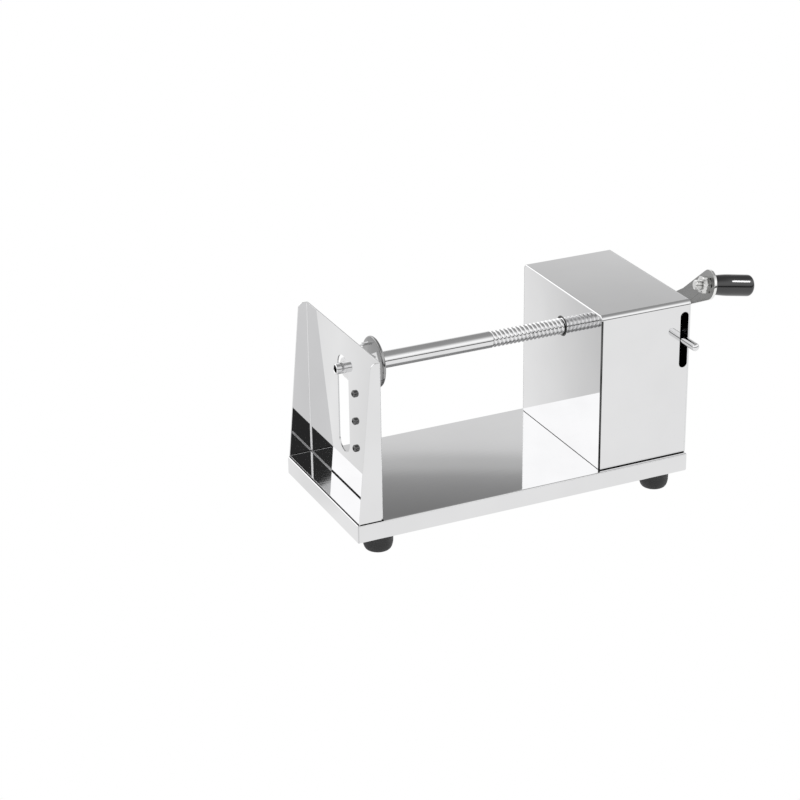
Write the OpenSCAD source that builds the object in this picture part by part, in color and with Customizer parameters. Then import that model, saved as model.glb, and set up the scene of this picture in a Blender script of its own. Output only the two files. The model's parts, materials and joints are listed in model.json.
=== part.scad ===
// Hand-cranked spiral cutter: a folded base tray carries a blade plate in front and a housing behind.
// A threaded rod through the housing turns the workpiece and feeds it onto the blade.
// The origin is on the rod's axis at the rear face of the blade plate; +X points to the crank, +Z up.

/* [Base] */
// Length of the base tray
base_l = 302.3; // [290:1:330]
// Width of the base tray
base_w = 145; // [141:1:160]
// Height of the tray's flanges
base_h = 15.6; // [13:0.5:20]
// Thickness of the sheet steel
sheet = 1.2; // [0.8:0.1:1.5]
// Width of the lips turned in under the tray
lip_w = 30; // [28:1:36]
// Height of a rubber foot
foot_h = 14.6; // [12:0.5:18]
// Radius of a foot at its top
foot_r = 12.8; // [11:0.2:14]
// Radius of a foot where it meets the table
foot_tip_r = 9; // [7:0.2:10]
// Distance of a foot's centre from the tray's end
foot_end = 23.5; // [20:0.5:30]
// Distance of a foot's centre from the tray's side
foot_side = 14.5; // [14:0.5:18]

/* [Blade plate] */
// Distance of the plate's front face from the tray's front edge
plate_set = 21.4; // [18:0.2:26]
// Distance of the blade plate's sides from the tray's sides
plate_side = 0.3; // [0:0.1:2]
// Height of the blade plate above the tray
plate_h = 135.4; // [125:0.5:145]
// Distance from the tray's front edge to the side flanges at the bottom
flange_set = 1.5; // [0.5:0.5:4]
// Distance from the tray's front edge to the side flanges at the top
flange_top_set = 13.6; // [9:0.2:15]
// Radius of a side flange's top corner
flange_r = 5; // [3:0.5:6]
// Width of the slicing slot
slot_w = 21.5; // [19:0.5:24]
// Reach of the slot below the rod's axis
slot_drop = 73.6; // [66:0.2:80]

/* [Blade] */
// Thickness of the blade strip
blade_t = 1.5; // [1.2:0.1:2]
// Height of the cutting edge behind the plate, which sets the slice
slice_t = 5.2; // [4:0.2:6]
// Distance of the strip's outer edge from the axis
blade_far = 33; // [30:0.5:36]
// Length of the cutting edge
edge_l = 60; // [52:1:63]
// Outer radius of the guide tube
guide_r = 4.5; // [4:0.1:5]
// Bore radius of the guide tube
guide_bore_r = 3.2; // [2.6:0.1:3.4]
// Reach of the guide tube in front of the plate's rear face
guide_front = 8; // [5:0.5:12]
// Reach of the guide tube behind the plate's rear face
guide_back = 10; // [8:0.5:12]
// Distance of the blade screws from the axis
screw_y = 23.5; // [22:0.5:25]
// Depth of the upper blade screw below the axis
screw_top = 13.4; // [12:0.2:15]
// Spacing of the blade screws
screw_step = 23.8; // [20:0.2:24]

/* [Housing] */
// Length of the housing
house_l = 83.1; // [80:0.5:90]
// Distance of the housing's sides from the tray's sides
house_side = 3.95; // [2.5:0.05:5.5]
// Height of the housing above the tray
house_h = 136.5; // [134:0.5:145]
// Radius of the housing's long top edges
house_r = 4; // [3:0.5:6]
// Depth of the front panel inside the housing's rim
panel_in = 0.8; // [0.4:0.1:1.5]
// Depth of the front panel's turned flanges
panel_flange = 9; // [6:1:14]
// Height of the rod's axis above the tray
axis_h = 104.2; // [102:0.2:106]
// Width of the release slot
release_w = 7.6; // [7.2:0.1:8]
// Reach of the release slot below the axis
release_low = 26.1; // [15:0.5:30]
// Reach of the release slot above the axis
release_high = 23; // [21.6:0.2:24]

/* [Feed rod] */
// Radius of the feed rod
rod_r = 7; // [6.6:0.1:7.2]
// Length of the smooth front tube
tube_l = 102.7; // [97:0.1:107]
// Bore radius of the front tube
tube_bore_r = 5; // [4.4:0.1:5.2]
// Pitch of the feed thread
pitch = 3.7; // [3:0.1:4.5]
// Depth of the thread's groove
groove_h = 0.9; // [0.6:0.1:1]
// Distance of the pusher's face behind the plate
pusher_x = 24.7; // [22.7:0.2:30.7]
// Radius of the pusher disc
pusher_r = 21.2; // [19:0.2:25]
// Thickness of the pusher disc
pusher_t = 3; // [2.4:0.1:4]
// Length of a pusher prong
prong_l = 6; // [4:0.5:8]
// Distance of the prongs from the axis
prong_at = 16; // [12:0.2:17]

/* [Crank] */
// Distance of the crank arm behind the housing
arm_gap = 18; // [17.6:0.2:22]
// Distance from the rod's axis to the grip's axis
crank_r = 76; // [72:0.5:82]
// Thickness of the crank arm
arm_t = 2.4; // [2:0.1:4]
// Half the width of the arm at its neck
arm_neck = 7.6; // [6:0.2:9]
// Radius of the arm's hub
arm_hub_r = 11; // [10:0.5:14]
// Radius of the arm's end
arm_end_r = 12.6; // [11:0.2:14]
// Length of the grip
grip_l = 37; // [33:1:45]
// Radius of the grip at the arm
grip_r = 7.9; // [7.4:0.1:9]
// Radius of the grip at its outer end
grip_end_r = 8.95; // [8.4:0.05:10]
// Rounding of the grip's outer end
grip_round = 5; // [3:0.5:5.5]

/* [Release] */
// Distance of the lever's pivot from the housing's far side
pivot_side = 16.55; // [14.55:0.5:20.55]
// Depth of the lever's pivot below the axis
pivot_z = 1.3; // [0.5:0.1:3]
// Thickness of the release lever
lever_t = 7; // [6:0.5:7.4]
// Reach of the release pin past the housing's near side
pin_out = 20.75; // [14.75:0.5:26.75]
// Radius of the release pin
pin_r = 3.4; // [2.8:0.1:3.5]
// Radius of the return spring's coil
coil_r = 3.1; // [2.4:0.1:3.2]
// Thickness of the spring's wire
wire_d = 1.2; // [0.8:0.1:1.4]

/* [Hidden] */
$fn = 64;

// Clearances: a running shaft, a fitted bolt, pieces that pass each other, and the overrun of a cut
run_gap = 0.08;
fit_gap = 0.05;
free_gap = 0.3;
over = 1;

// The tray's ends and top, measured from the origin
base_x0 = -(plate_set + sheet);
base_x1 = base_x0 + base_l;
base_z = -axis_h;
lip_z = base_z - base_h;
foot_xs = [base_x0 + foot_end, base_x1 - foot_end];
foot_y = base_w / 2 - foot_side;
plate_w = base_w - 2 * plate_side;
web_w = plate_w - 2 * sheet;
house_w = base_w - 2 * house_side;

// Small machine screws: shank radius, head radius and height, and nut size across flats and thickness
m4_r = 2;
m4_head_r = 3.5;
m4_head_h = 2.6;
m4_flats = 7;
m4_nut_h = 3.2;
m4_past = 1.5;
// Depth of the well for a foot's screw
foot_well = 6;
foot_well_r = 4.6;
// Height over which a foot's wall is nearly straight, and its narrowing there
foot_wall_share = 0.45;
foot_draft = 0.5;

// Blade: start of the sloping part, width of its land, height of the eye, and the bow round the guide tube
blade_near = slot_w / 2 + 2 * sheet;
edge_land = 0.5;
eye_rim = 3.5;
eye_r = guide_r + eye_rim;
edge_z0 = -(slot_drop - 2 * sheet);
blade_screw_zs = [for (i = [0:2]) -(screw_top + i * screw_step)];
dome_h = 3.6;

// Housing faces
house_x0 = base_x1 - house_l;
house_x1 = base_x1;
cover_x1 = house_x1 - sheet;
house_top = base_z + house_h;
panel_gap = 0.4;
panel_x0 = house_x0 + panel_in;
rear_hole_gap = 1.5;
rear_hole_r = rod_r + rear_hole_gap;

// Front bush: rim in front of the panel, neck in its hole, flange behind it
rim_wall = 1.8;
neck_wall = 1.2;
inner_wall = 3;
bush_r = rod_r + rim_wall;
neck_r = rod_r + neck_wall;
inner_r = rod_r + inner_wall;
rim_t = 0.35;
inner_t = 1.1;
bush_play = 0.05;

// Release lever, centred in the slot of the cover, between its pivot and the end that holds the pin
lever_play = 0.8;
lever_x0 = cover_x1 - lever_play - lever_t;
lever_x = lever_x0 + lever_t / 2;
m8_r = 4;
m8_flats = 13;
m8_nut_h = 6.5;
m8_head_h = 5.3;
lever_eye_r = 8;
lever_side = 10.55;
lever_end = house_w / 2 - lever_side;
pivot_y = house_w / 2 - pivot_side;
lever_under = 0.1;
lever_low = rod_r + lever_under;
lever_high = 3;
lever_crown = 17;
shoulder_y = 20;
crown_slope = 10;

// Half nut in the lever's notch, its screws, and the spigot of the release pin
half_l = 12;
half_h = 10;
half_w = 13;
half_screw_y = 10;
half_screw_z = 3;
pin_spigot_r = 2;
pin_spigot_l = 8;

// Bracket in front of the lever, and the rear bush in it
bracket_t = 3;
bracket_back = 10;
bracket_x0 = lever_x0 - bracket_back;
bracket_high = 14;
bracket_low_y = 30;
bracket_side = 10;
bracket_foot_l = 25;
bracket_screw_x = bracket_x0 - bracket_foot_l / 2;
bracket_screw_ys = [-10, 31.2];
rear_bush_r = 10;
rear_flange_r = 12;
rear_flange_t = 1.5;
rear_bush_past = 1;

// Return spring between the lever and a post on the tray
spring_y = -36;
post_h = 16;
post_r = 4;
post_pin_r = 2.4;
stem_l = 5;
coil_turns = 16;
coil_rings = 8;
coil_sides = 6;

// Rod: tube behind the pusher, threaded bar behind the tube, collar and stud at the crank
tube_x0 = pusher_x + pusher_t;
thread_x0 = tube_x0 + tube_l;
arm_x = house_x1 + arm_gap;
collar_t = 4.4;
collar_rim = 2;
collar_r = rod_r + collar_rim;
thread_x1 = arm_x - collar_t;
spigot_l = 20;
pusher_spigot_l = 12;
stud_r = 5;
stick_gap = 0.1;
stick_r = guide_bore_r - stick_gap;
rim_r = pusher_t / 2;
prong_count = 4;
prong_angle = 53;
prong_tip = 3;
prong_notch_share = 0.4;
prong_w = 8;
prong_t = 1.2;

// Thread form in shares of the pitch, with the crest first
form_shares = [0, 0.66, 0.72, 0.94];
thread_steps = 16;
core_gap = 0.3;
core_r = rod_r - groove_h - core_gap;

// Crank: angle of the arm from upright towards the near side, twist of the arm, and its stations
crank_angle = 57.4;
tilt_angle = 10.3;
twist_z0 = 16;
twist_z1 = 34;
twist_lap = 0.4;
twist_slices = 6;
m10_flats = 17;
m10_nut_h = 8;
hub_washer_r = 10;
washer_t = 1.2;
stud_past = 2;
grip_washer_r = 8;
grip_bolt_past = 5.7;
grip_edge = 0.8;
grip_head_r = 5.5;
grip_head_h = 6;
grip_well = 9;
grip_z0 = arm_t / 2 + washer_t + free_gap;

// A bar or ring along X; local z becomes X
module along_x(x) {
    translate([x, 0, 0])
        rotate([0, 90, 0])
            children();
}

// An outline in Y and Z, t thick along X
module plate_x(x, t) {
    translate([x, 0, 0])
        rotate([90, 0, 90])
            linear_extrude(t)
                children();
}

// An outline in X and Z, t thick from y to y - t
module plate_y(y, t) {
    translate([0, y, 0])
        rotate([90, 0, 0])
            linear_extrude(t)
                children();
}

module hex_nut(flats, h, r) {
    linear_extrude(h)
        difference() {
            circle(r = flats / 2 / cos(30), $fn = 6);
            circle(r = r);
        }
}

module ring(r, bore, h) {
    linear_extrude(h)
        difference() {
            circle(r = r);
            circle(r = bore);
        }
}

// Points of an arc about c from angle a0 to a1
function arc(c, r, a0, a1, n) = [for (i = [0:n]) let (a = a0 + (a1 - a0) * i / n) [c[0] + r * cos(a), c[1] + r * sin(a)]];

// The housing's outline in Y and Z, set in by d
module house_outline(d) {
    w = house_w / 2 - d;
    top = house_top - d;
    r = house_r - min(d, house_r / 2);
    translate([-w, base_z])
        square([2 * w, top - r - base_z]);
    translate([-w + r, base_z])
        square([2 * (w - r), top - base_z]);
    for (s = [-1, 1])
        translate([s * (w - r), top - r])
            circle(r = r);
}

module at_feet() {
    for (x = foot_xs, s = [-1, 1])
        translate([x, s * foot_y, lip_z])
            children();
}

module base_tray() {
    color([0.8, 0.81, 0.82])
        difference() {
            translate([base_x0, -base_w / 2, lip_z])
                cube([base_l, base_w, base_h]);
            translate([base_x0 + sheet, -base_w / 2 + sheet, lip_z + sheet])
                cube([base_l - 2 * sheet, base_w - 2 * sheet, base_h - 2 * sheet]);
            translate([base_x0 + lip_w, -base_w / 2 + lip_w, lip_z - over])
                cube([base_l - 2 * lip_w, base_w - 2 * lip_w, sheet + 2 * over]);
            at_feet()
                translate([0, 0, -over])
                    cylinder(r = m4_r + fit_gap, h = sheet + 2 * over);
            for (y = bracket_screw_ys)
                translate([bracket_screw_x, y, base_z - sheet - over])
                    cylinder(r = m4_r + fit_gap, h = sheet + 2 * over);
            translate([lever_x, spring_y, base_z - sheet - over])
                cylinder(r = post_pin_r + fit_gap, h = sheet + 2 * over);
        }
}

// A foot hangs from z = 0: nearly straight wall, then a rounded lower edge
module foot() {
    wall_z = -foot_h * foot_wall_share;
    low_r = foot_r - foot_draft;
    drop = foot_h + wall_z;
    step = low_r - foot_tip_r;
    rounding = [for (a = [0:15:90]) [low_r - step * (1 - cos(a)), wall_z - drop * sin(a)]];
    color([0.12, 0.12, 0.13])
        rotate_extrude()
            polygon(concat([[m4_r + fit_gap, 0], [foot_r, 0]], rounding,
                [[foot_well_r, -foot_h], [foot_well_r, foot_well - foot_h], [m4_r + fit_gap, foot_well - foot_h]]));
}

module place_foot(end, side) {
    translate([foot_xs[end], side * foot_y, lip_z])
        foot();
}

module foot_screws() {
    seat = foot_well - foot_h;
    color([0.7, 0.71, 0.72])
        at_feet()
            union() {
                translate([0, 0, seat - m4_head_h])
                    cylinder(r = m4_head_r, h = m4_head_h);
                translate([0, 0, seat - m4_head_h / 2])
                    cylinder(r = m4_r, h = m4_head_h / 2 - seat + sheet + m4_nut_h + m4_past);
            }
}

module foot_nuts() {
    color([0.75, 0.76, 0.77])
        at_feet()
            translate([0, 0, sheet])
                hex_nut(m4_flats, m4_nut_h, m4_r + fit_gap);
}

module slot_outline() {
    circle(r = slot_w / 2);
    translate([-slot_w / 2, -slot_drop + slot_w / 2])
        square([slot_w, slot_drop - slot_w / 2]);
    translate([0, -slot_drop + slot_w / 2])
        circle(r = slot_w / 2);
}

// The side flange leans back towards the top and has one rounded corner
module flange_outline() {
    top = base_z + plate_h;
    low_x = base_x0 + flange_set;
    high_x = base_x0 + flange_top_set;
    lean = atan((high_x - low_x) / plate_h);
    polygon(concat([[0, base_z], [low_x, base_z]],
        arc([high_x + flange_r, top - flange_r], flange_r, 180 - lean, 90, 8), [[0, top]]));
}

// The plate is one folded sheet: this is its upright web, with its side flanges and its foot flange below
module blade_plate() {
    color([0.82, 0.83, 0.84])
        difference() {
            plate_x(-sheet, sheet)
                difference() {
                    translate([-web_w / 2, base_z])
                        square([web_w, plate_h]);
                    slot_outline();
                }
            for (z = blade_screw_zs)
                translate([0, -screw_y, z])
                    along_x(-sheet - over)
                        cylinder(r = m4_r + fit_gap, h = sheet + 2 * over);
        }
}

// y is the flange's outer face on the far side, its inner face on the near side
module plate_flange(y) {
    color([0.82, 0.83, 0.84])
        plate_y(y, sheet)
            flange_outline();
}

module plate_foot() {
    color([0.82, 0.83, 0.84])
        translate([base_x0 + flange_set, -web_w / 2, base_z])
            cube([plate_set - flange_set, web_w, sheet]);
}

// Flat strip on the plate's rear face, sloping blade down to a thin edge near the axis, and a bridge to the tube
module cutting_blade() {
    slope = (slice_t - blade_t) / (blade_near - edge_land);
    color([0.86, 0.87, 0.88])
        difference() {
            union() {
                translate([0, -blade_far, edge_z0])
                    cube([blade_t, blade_far - blade_near, eye_r - edge_z0]);
                translate([0, 0, edge_z0])
                    linear_extrude(edge_l)
                        polygon([[0, -blade_near - over], [blade_t, -blade_near - over], [blade_t, -blade_near],
                            [slice_t, -edge_land], [slice_t, 0], [slice_t - blade_t * slope, -edge_land],
                            [0, -blade_near + blade_t]]);
                plate_x(0, blade_t)
                    union() {
                        translate([-blade_near - over, -eye_r])
                            square([blade_near + over, 2 * eye_r]);
                        circle(r = eye_r);
                    }
            }
            along_x(-over)
                cylinder(r = guide_r + fit_gap, h = slice_t + 2 * over);
            for (z = blade_screw_zs)
                translate([0, -screw_y, z])
                    along_x(-over)
                        cylinder(r = m4_r + fit_gap, h = blade_t + 2 * over);
        }
}

// Domed head towards the front, shank through the plate and the blade
module blade_screws() {
    color([0.75, 0.76, 0.77])
        for (z = blade_screw_zs)
            translate([-sheet, -screw_y, z])
                rotate([0, -90, 0])
                    rotate_extrude()
                        polygon(concat([[0, -(sheet + blade_t + m4_nut_h + m4_past)],
                            [m4_r, -(sheet + blade_t + m4_nut_h + m4_past)], [m4_r, 0], [m4_head_r, 0]],
                            [for (a = [0:15:75]) [m4_head_r * cos(a), dome_h * (1 + sin(a)) / 2]], [[0, dome_h]]));
}

module blade_nuts() {
    color([0.75, 0.76, 0.77])
        for (z = blade_screw_zs)
            translate([0, -screw_y, z])
                along_x(blade_t)
                    hex_nut(m4_flats, m4_nut_h, m4_r + fit_gap);
}

module guide_tube() {
    color([0.8, 0.81, 0.82])
        along_x(-guide_front)
            ring(guide_r, guide_bore_r, guide_front + guide_back);
}

module release_slot() {
    r = release_w / 2;
    for (z = [-release_low + r, release_high - r])
        translate([lever_x, z])
            circle(r = r);
    translate([lever_x - r, -release_low + r])
        square([release_w, release_low + release_high - 2 * r]);
}

module housing_cover() {
    color([0.82, 0.83, 0.84])
        difference() {
            plate_x(house_x0, cover_x1 - house_x0)
                house_outline(0);
            plate_x(house_x0 - over, cover_x1 - house_x0 + 2 * over)
                union() {
                    house_outline(sheet);
                    translate([-house_w / 2 + sheet, base_z - over])
                        square([house_w - 2 * sheet, 2 * over]);
                }
            plate_y(-house_w / 2 + sheet + over, sheet + 2 * over)
                release_slot();
        }
}

module front_panel() {
    edge = sheet + panel_gap;
    color([0.82, 0.83, 0.84])
        difference() {
            plate_x(panel_x0, panel_flange)
                house_outline(edge);
            plate_x(panel_x0 + sheet, panel_flange)
                difference() {
                    house_outline(edge + sheet);
                    translate([-house_w / 2, base_z - over])
                        square([house_w, sheet + over]);
                }
            along_x(panel_x0 - over)
                cylinder(r = neck_r + run_gap, h = sheet + 2 * over);
        }
}

module rear_panel() {
    color([0.82, 0.83, 0.84])
        plate_x(cover_x1, sheet)
            difference() {
                house_outline(0);
                circle(r = rear_hole_r);
                translate([pivot_y, -pivot_z])
                    circle(r = m8_r + fit_gap);
            }
}

// Upright plate inside the housing with a foot bolted to the tray
module nut_bracket() {
    color([0.7, 0.71, 0.72])
        difference() {
            union() {
                plate_x(bracket_x0, bracket_t)
                    polygon([[-bracket_low_y, base_z], [pivot_y + bracket_side, base_z],
                        [pivot_y + bracket_side, pivot_z], [pivot_y, lever_eye_r], [bracket_high, bracket_high],
                        [-bracket_high, bracket_high], [-bracket_low_y, -bracket_high]]);
                translate([bracket_x0 - bracket_foot_l, -bracket_low_y, base_z])
                    cube([bracket_foot_l + bracket_t / 2, bracket_low_y + pivot_y + bracket_side, bracket_t]);
            }
            along_x(bracket_x0 - over)
                cylinder(r = rear_bush_r + fit_gap, h = bracket_t + 2 * over);
            translate([0, pivot_y, -pivot_z])
                along_x(bracket_x0 - over)
                    cylinder(r = m8_r + fit_gap, h = bracket_t + 2 * over);
            for (y = bracket_screw_ys)
                translate([bracket_screw_x, y, base_z - over])
                    cylinder(r = m4_r + fit_gap, h = bracket_t + 2 * over);
        }
}

module bracket_screws() {
    color([0.7, 0.71, 0.72])
        for (y = bracket_screw_ys)
            translate([bracket_screw_x, y, base_z + bracket_t])
                union() {
                    cylinder(r = m4_head_r, h = m4_head_h);
                    translate([0, 0, -bracket_t - sheet - m4_nut_h - m4_past])
                        cylinder(r = m4_r, h = bracket_t + sheet + m4_nut_h + m4_past + m4_head_h / 2);
                }
}

module bracket_nuts() {
    color([0.75, 0.76, 0.77])
        for (y = bracket_screw_ys)
            translate([bracket_screw_x, y, base_z - sheet - m4_nut_h])
                hex_nut(m4_flats, m4_nut_h, m4_r + fit_gap);
}

module rear_bush() {
    color([0.15, 0.15, 0.16])
        difference() {
            union() {
                along_x(bracket_x0 - rear_flange_t)
                    cylinder(r = rear_flange_r, h = rear_flange_t);
                along_x(bracket_x0 - rear_flange_t)
                    cylinder(r = rear_bush_r, h = rear_flange_t + bracket_t + rear_bush_past);
            }
            along_x(bracket_x0 - rear_flange_t - over)
                cylinder(r = rod_r + free_gap, h = rear_flange_t + bracket_t + rear_bush_past + 2 * over);
        }
}

module front_bush() {
    rim_x = panel_x0 - bush_play - rim_t;
    inner_x = panel_x0 + sheet + bush_play;
    color([0.1, 0.1, 0.11])
        difference() {
            union() {
                along_x(rim_x)
                    cylinder(r = bush_r, h = rim_t);
                along_x(rim_x)
                    cylinder(r = neck_r, h = inner_x - rim_x + inner_t);
                along_x(inner_x)
                    cylinder(r = inner_r, h = inner_t);
            }
            along_x(rim_x - over)
                cylinder(r = rod_r + free_gap, h = inner_x - rim_x + inner_t + 2 * over);
        }
}

// The lever reaches over the rod with a notch for the half nut; its near end holds the release pin
module release_lever() {
    notch = half_w;
    color([0.6, 0.61, 0.62])
        difference() {
            plate_x(lever_x0, lever_t)
                difference() {
                    union() {
                        polygon([[-lever_end, -lever_low], [-notch, -lever_low], [-notch, half_h], [notch, half_h],
                            [notch, -lever_low], [pivot_y, -pivot_z - lever_eye_r], [pivot_y, lever_eye_r - pivot_z],
                            [shoulder_y, lever_crown], [-shoulder_y, lever_crown],
                            [-shoulder_y - crown_slope, lever_high], [-lever_end, lever_high]]);
                        translate([pivot_y, -pivot_z])
                            circle(r = lever_eye_r);
                    }
                    translate([pivot_y, -pivot_z])
                        circle(r = m8_r + run_gap);
                }
            for (s = [-1, 1])
                translate([lever_x, s * half_screw_y, half_h - over])
                    cylinder(r = m4_r + fit_gap, h = lever_crown - half_h + 2 * over);
            translate([lever_x, -lever_end + pin_spigot_l, -pivot_z])
                rotate([90, 0, 0])
                    cylinder(r = pin_spigot_r + fit_gap, h = pin_spigot_l + over);
        }
}

// Bolt with its head behind the rear panel, through the spacer and the bracket
module lever_pivot() {
    color([0.75, 0.76, 0.77])
        translate([0, pivot_y, -pivot_z])
            union() {
                along_x(house_x1)
                    cylinder(r = m8_flats / 2 / cos(30), h = m8_head_h, $fn = 6);
                along_x(bracket_x0 - m8_nut_h - m4_past)
                    cylinder(r = m8_r, h = house_x1 + m8_head_h / 2 - bracket_x0 + m8_nut_h + m4_past);
            }
}

module pivot_spacer() {
    x0 = bracket_x0 + bracket_t;
    color([0.7, 0.71, 0.72])
        translate([0, pivot_y, -pivot_z])
            along_x(x0)
                ring(lever_eye_r - over, m8_r + fit_gap, lever_x0 - free_gap - x0);
}

module pivot_nut() {
    color([0.75, 0.76, 0.77])
        translate([0, pivot_y, -pivot_z])
            along_x(bracket_x0 - m8_nut_h)
                hex_nut(m8_flats, m8_nut_h, m8_r + fit_gap);
}

module half_nut() {
    x0 = lever_x0 + lever_t - half_l;
    color([0.72, 0.6, 0.35])
        difference() {
            plate_x(x0, half_l)
                difference() {
                    translate([-half_w, 0])
                        square([2 * half_w, half_h]);
                    circle(r = rod_r + free_gap);
                }
            for (s = [-1, 1])
                translate([lever_x, s * half_screw_y, half_screw_z])
                    cylinder(r = m4_r + fit_gap, h = half_h);
        }
}

module half_nut_screws() {
    color([0.7, 0.71, 0.72])
        for (s = [-1, 1])
            translate([lever_x, s * half_screw_y, half_screw_z])
                union() {
                    cylinder(r = m4_r, h = lever_crown - half_screw_z + m4_head_h / 2);
                    translate([0, 0, lever_crown - half_screw_z])
                        cylinder(r = m4_head_r - fit_gap, h = m4_head_h);
                }
}

module release_pin() {
    shank = house_w / 2 + pin_out - lever_end;
    color([0.8, 0.81, 0.82])
        translate([lever_x, -lever_end, -pivot_z])
            rotate([90, 0, 0])
                rotate_extrude()
                    polygon(concat([[0, -pin_spigot_l], [pin_spigot_r, -pin_spigot_l], [pin_spigot_r, 0], [pin_r, 0]],
                        [for (a = [0:15:75]) [pin_r * cos(a), shank - pin_r * (1 - sin(a))]], [[0, shank]]));
}

// Unbroken wire: straight stem, turns that open out and close in again over half a turn, straight stem
spring_z0 = base_z + post_h;
spring_z1 = -lever_low;
coil_h = spring_z1 - spring_z0 - 2 * stem_l;
function coil_open(t) = min(1, 2 * t, 2 * (coil_turns - t));
function coil_point(t) = [coil_r * coil_open(t) * cos(360 * t), coil_r * coil_open(t) * sin(360 * t),
    stem_l + coil_h * t / coil_turns];
coil_path = [for (i = [0:coil_turns * coil_rings]) coil_point(i / coil_rings)];
spring_path = concat([[0, 0, 0]], coil_path, [[0, 0, spring_z1 - spring_z0]]);
function unit(v) = v / norm(v);
// Directions of the wire at its points; the first and last run straight up
spring_last = len(spring_path) - 1;
function heading(i) = i < 2 || i > spring_last - 2 ? [0, 0, 1] : unit(spring_path[i + 1] - spring_path[i - 1]);
function outward(i) = let (a = 360 * min(max(i - 1, 0), coil_turns * coil_rings) / coil_rings) [cos(a), sin(a), 0];
function wire_ring(i) = let (
        t = heading(i),
        u = unit(outward(i) - (outward(i) * t) * t),
        v = cross(t, u)
    ) [for (k = [0:coil_sides - 1]) spring_path[i] + wire_d / 2 * (cos(360 * k / coil_sides) * u + sin(360 * k / coil_sides) * v)];
spring_gap = min([for (i = [0:len(coil_path) - coil_rings - 1], d = [coil_rings - 1:coil_rings])
    norm(coil_path[i + d] - coil_path[i])]) - wire_d;
echo(spring_gap = spring_gap);

module return_spring() {
    n = coil_sides;
    points = [for (i = [0:spring_last]) each wire_ring(i)];
    sides = [for (i = [0:spring_last - 1], k = [0:n - 1]) let (a = i * n + k, b = i * n + (k + 1) % n)
        each [[a, a + n, b + n], [a, b + n, b]]];
    low = [for (k = [0:n - 1]) k];
    high = [for (k = [n - 1:-1:0]) spring_last * n + k];
    color([0.6, 0.61, 0.62])
        translate([lever_x, spring_y, spring_z0])
            polyhedron(points, concat(sides, [low, high]));
}

module spring_post() {
    color([0.7, 0.71, 0.72])
        translate([lever_x, spring_y, base_z - sheet])
            union() {
                cylinder(r = post_pin_r, h = sheet + post_h);
                translate([0, 0, sheet])
                    cylinder(r = post_r, h = post_h);
            }
}

module push_tube() {
    color([0.84, 0.85, 0.86])
        along_x(tube_x0)
            ring(rod_r, tube_bore_r, tube_l);
}

// Right-hand thread from z = 0 to z = l as one surface on a helical grid: column i stands at angle 360 i / steps,
// and the last column meets the first one turn higher. Rings of the core's radius close both ends.
module thread(l) {
    n = thread_steps;
    turns = floor((l - pitch / 2) / pitch) - 1;
    lead_in = (l - pitch * (turns + 1)) / 2;
    m = 4 * turns;
    radii = [rod_r, rod_r, rod_r - groove_h, rod_r - groove_h];
    function spot(r, i, z) = [r * cos(360 * i / n), r * sin(360 * i / n), z];
    function grid(i, j) = spot(radii[j % 4], i, lead_in + pitch * (floor(j / 4) + i / n + form_shares[j % 4]));
    function at(i, j) = i == 0 ? j : i == n ? j + 4 : m + 4 + (i - 1) * m + j;
    low0 = m + 4 + (n - 1) * m;
    high0 = low0 + n;
    points = concat([for (i = [0:n - 1], j = [0:(i == 0 ? m + 3 : m - 1)]) grid(i, j)],
        [for (i = [0:n - 1]) spot(core_r, i, 0)], [for (i = [0:n - 1]) spot(core_r, i, l)]);
    flanks = [for (i = [0:n - 1], j = [0:m - 2])
        each [[at(i, j), at(i, j + 1), at(i + 1, j + 1)], [at(i, j), at(i + 1, j + 1), at(i + 1, j)]]];
    start = [for (i = [0:n - 1]) let (q = low0 + i, q1 = low0 + (i + 1) % n)
        each [[q, at(i, 0), at(i + 1, 0)], [q, at(i + 1, 0), q1]]];
    finish = [for (i = [0:n - 1]) let (q = high0 + i, q1 = high0 + (i + 1) % n)
        each [[at(i, m - 1), q, q1], [at(i, m - 1), q1, at(i + 1, m - 1)]]];
    steps = [for (j = [0:3]) each [[low0, j + 1, j], [high0, m - 1 + j, m + j]]];
    caps = [[for (i = [0:n - 1]) low0 + i], [for (i = [n - 1:-1:0]) high0 + i]];
    polyhedron(points, concat(flanks, start, finish, steps, caps));
}

module lead_screw() {
    stud_end = arm_x + arm_t + washer_t + m10_nut_h + stud_past;
    color([0.82, 0.83, 0.84])
        union() {
            along_x(thread_x0)
                thread(thread_x1 - thread_x0);
            along_x(thread_x0 - spigot_l)
                cylinder(r = tube_bore_r - fit_gap, h = spigot_l + over);
            along_x(thread_x1 - over)
                cylinder(r = stud_r, h = stud_end - thread_x1 + over);
        }
}

// Ring on the stud between the thread's end and the arm
module arm_collar() {
    color([0.82, 0.83, 0.84])
        along_x(thread_x1)
            ring(collar_r, stud_r + fit_gap, collar_t);
}

module pusher_disc() {
    rim = arc([pusher_r - rim_r, rim_r], rim_r, -90, 90, 8);
    color([0.85, 0.86, 0.87])
        along_x(pusher_x)
            rotate_extrude($fn = 96)
                polygon(concat([[stick_r, 0]], rim, [[tube_bore_r - fit_gap, pusher_t],
                    [tube_bore_r - fit_gap, pusher_t + pusher_spigot_l], [stick_r, pusher_t + pusher_spigot_l]]));
}

// Flat claws with two points each
module pusher_prongs() {
    color([0.85, 0.86, 0.87])
        for (i = [0:prong_count - 1])
            rotate([prong_angle + 360 * i / prong_count, 0, 0])
                translate([pusher_x, 0, prong_at - prong_t / 2])
                    linear_extrude(prong_t)
                        polygon([[0, -prong_w / 2], [0, prong_w / 2], [-prong_l, prong_tip],
                            [-prong_l * prong_notch_share, 0], [-prong_l, -prong_tip]]);
}

// The arm's own frame: Z runs from the hub to the grip, X along the rod
module in_arm() {
    rotate([crank_angle, 0, 0])
        children();
}

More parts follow.
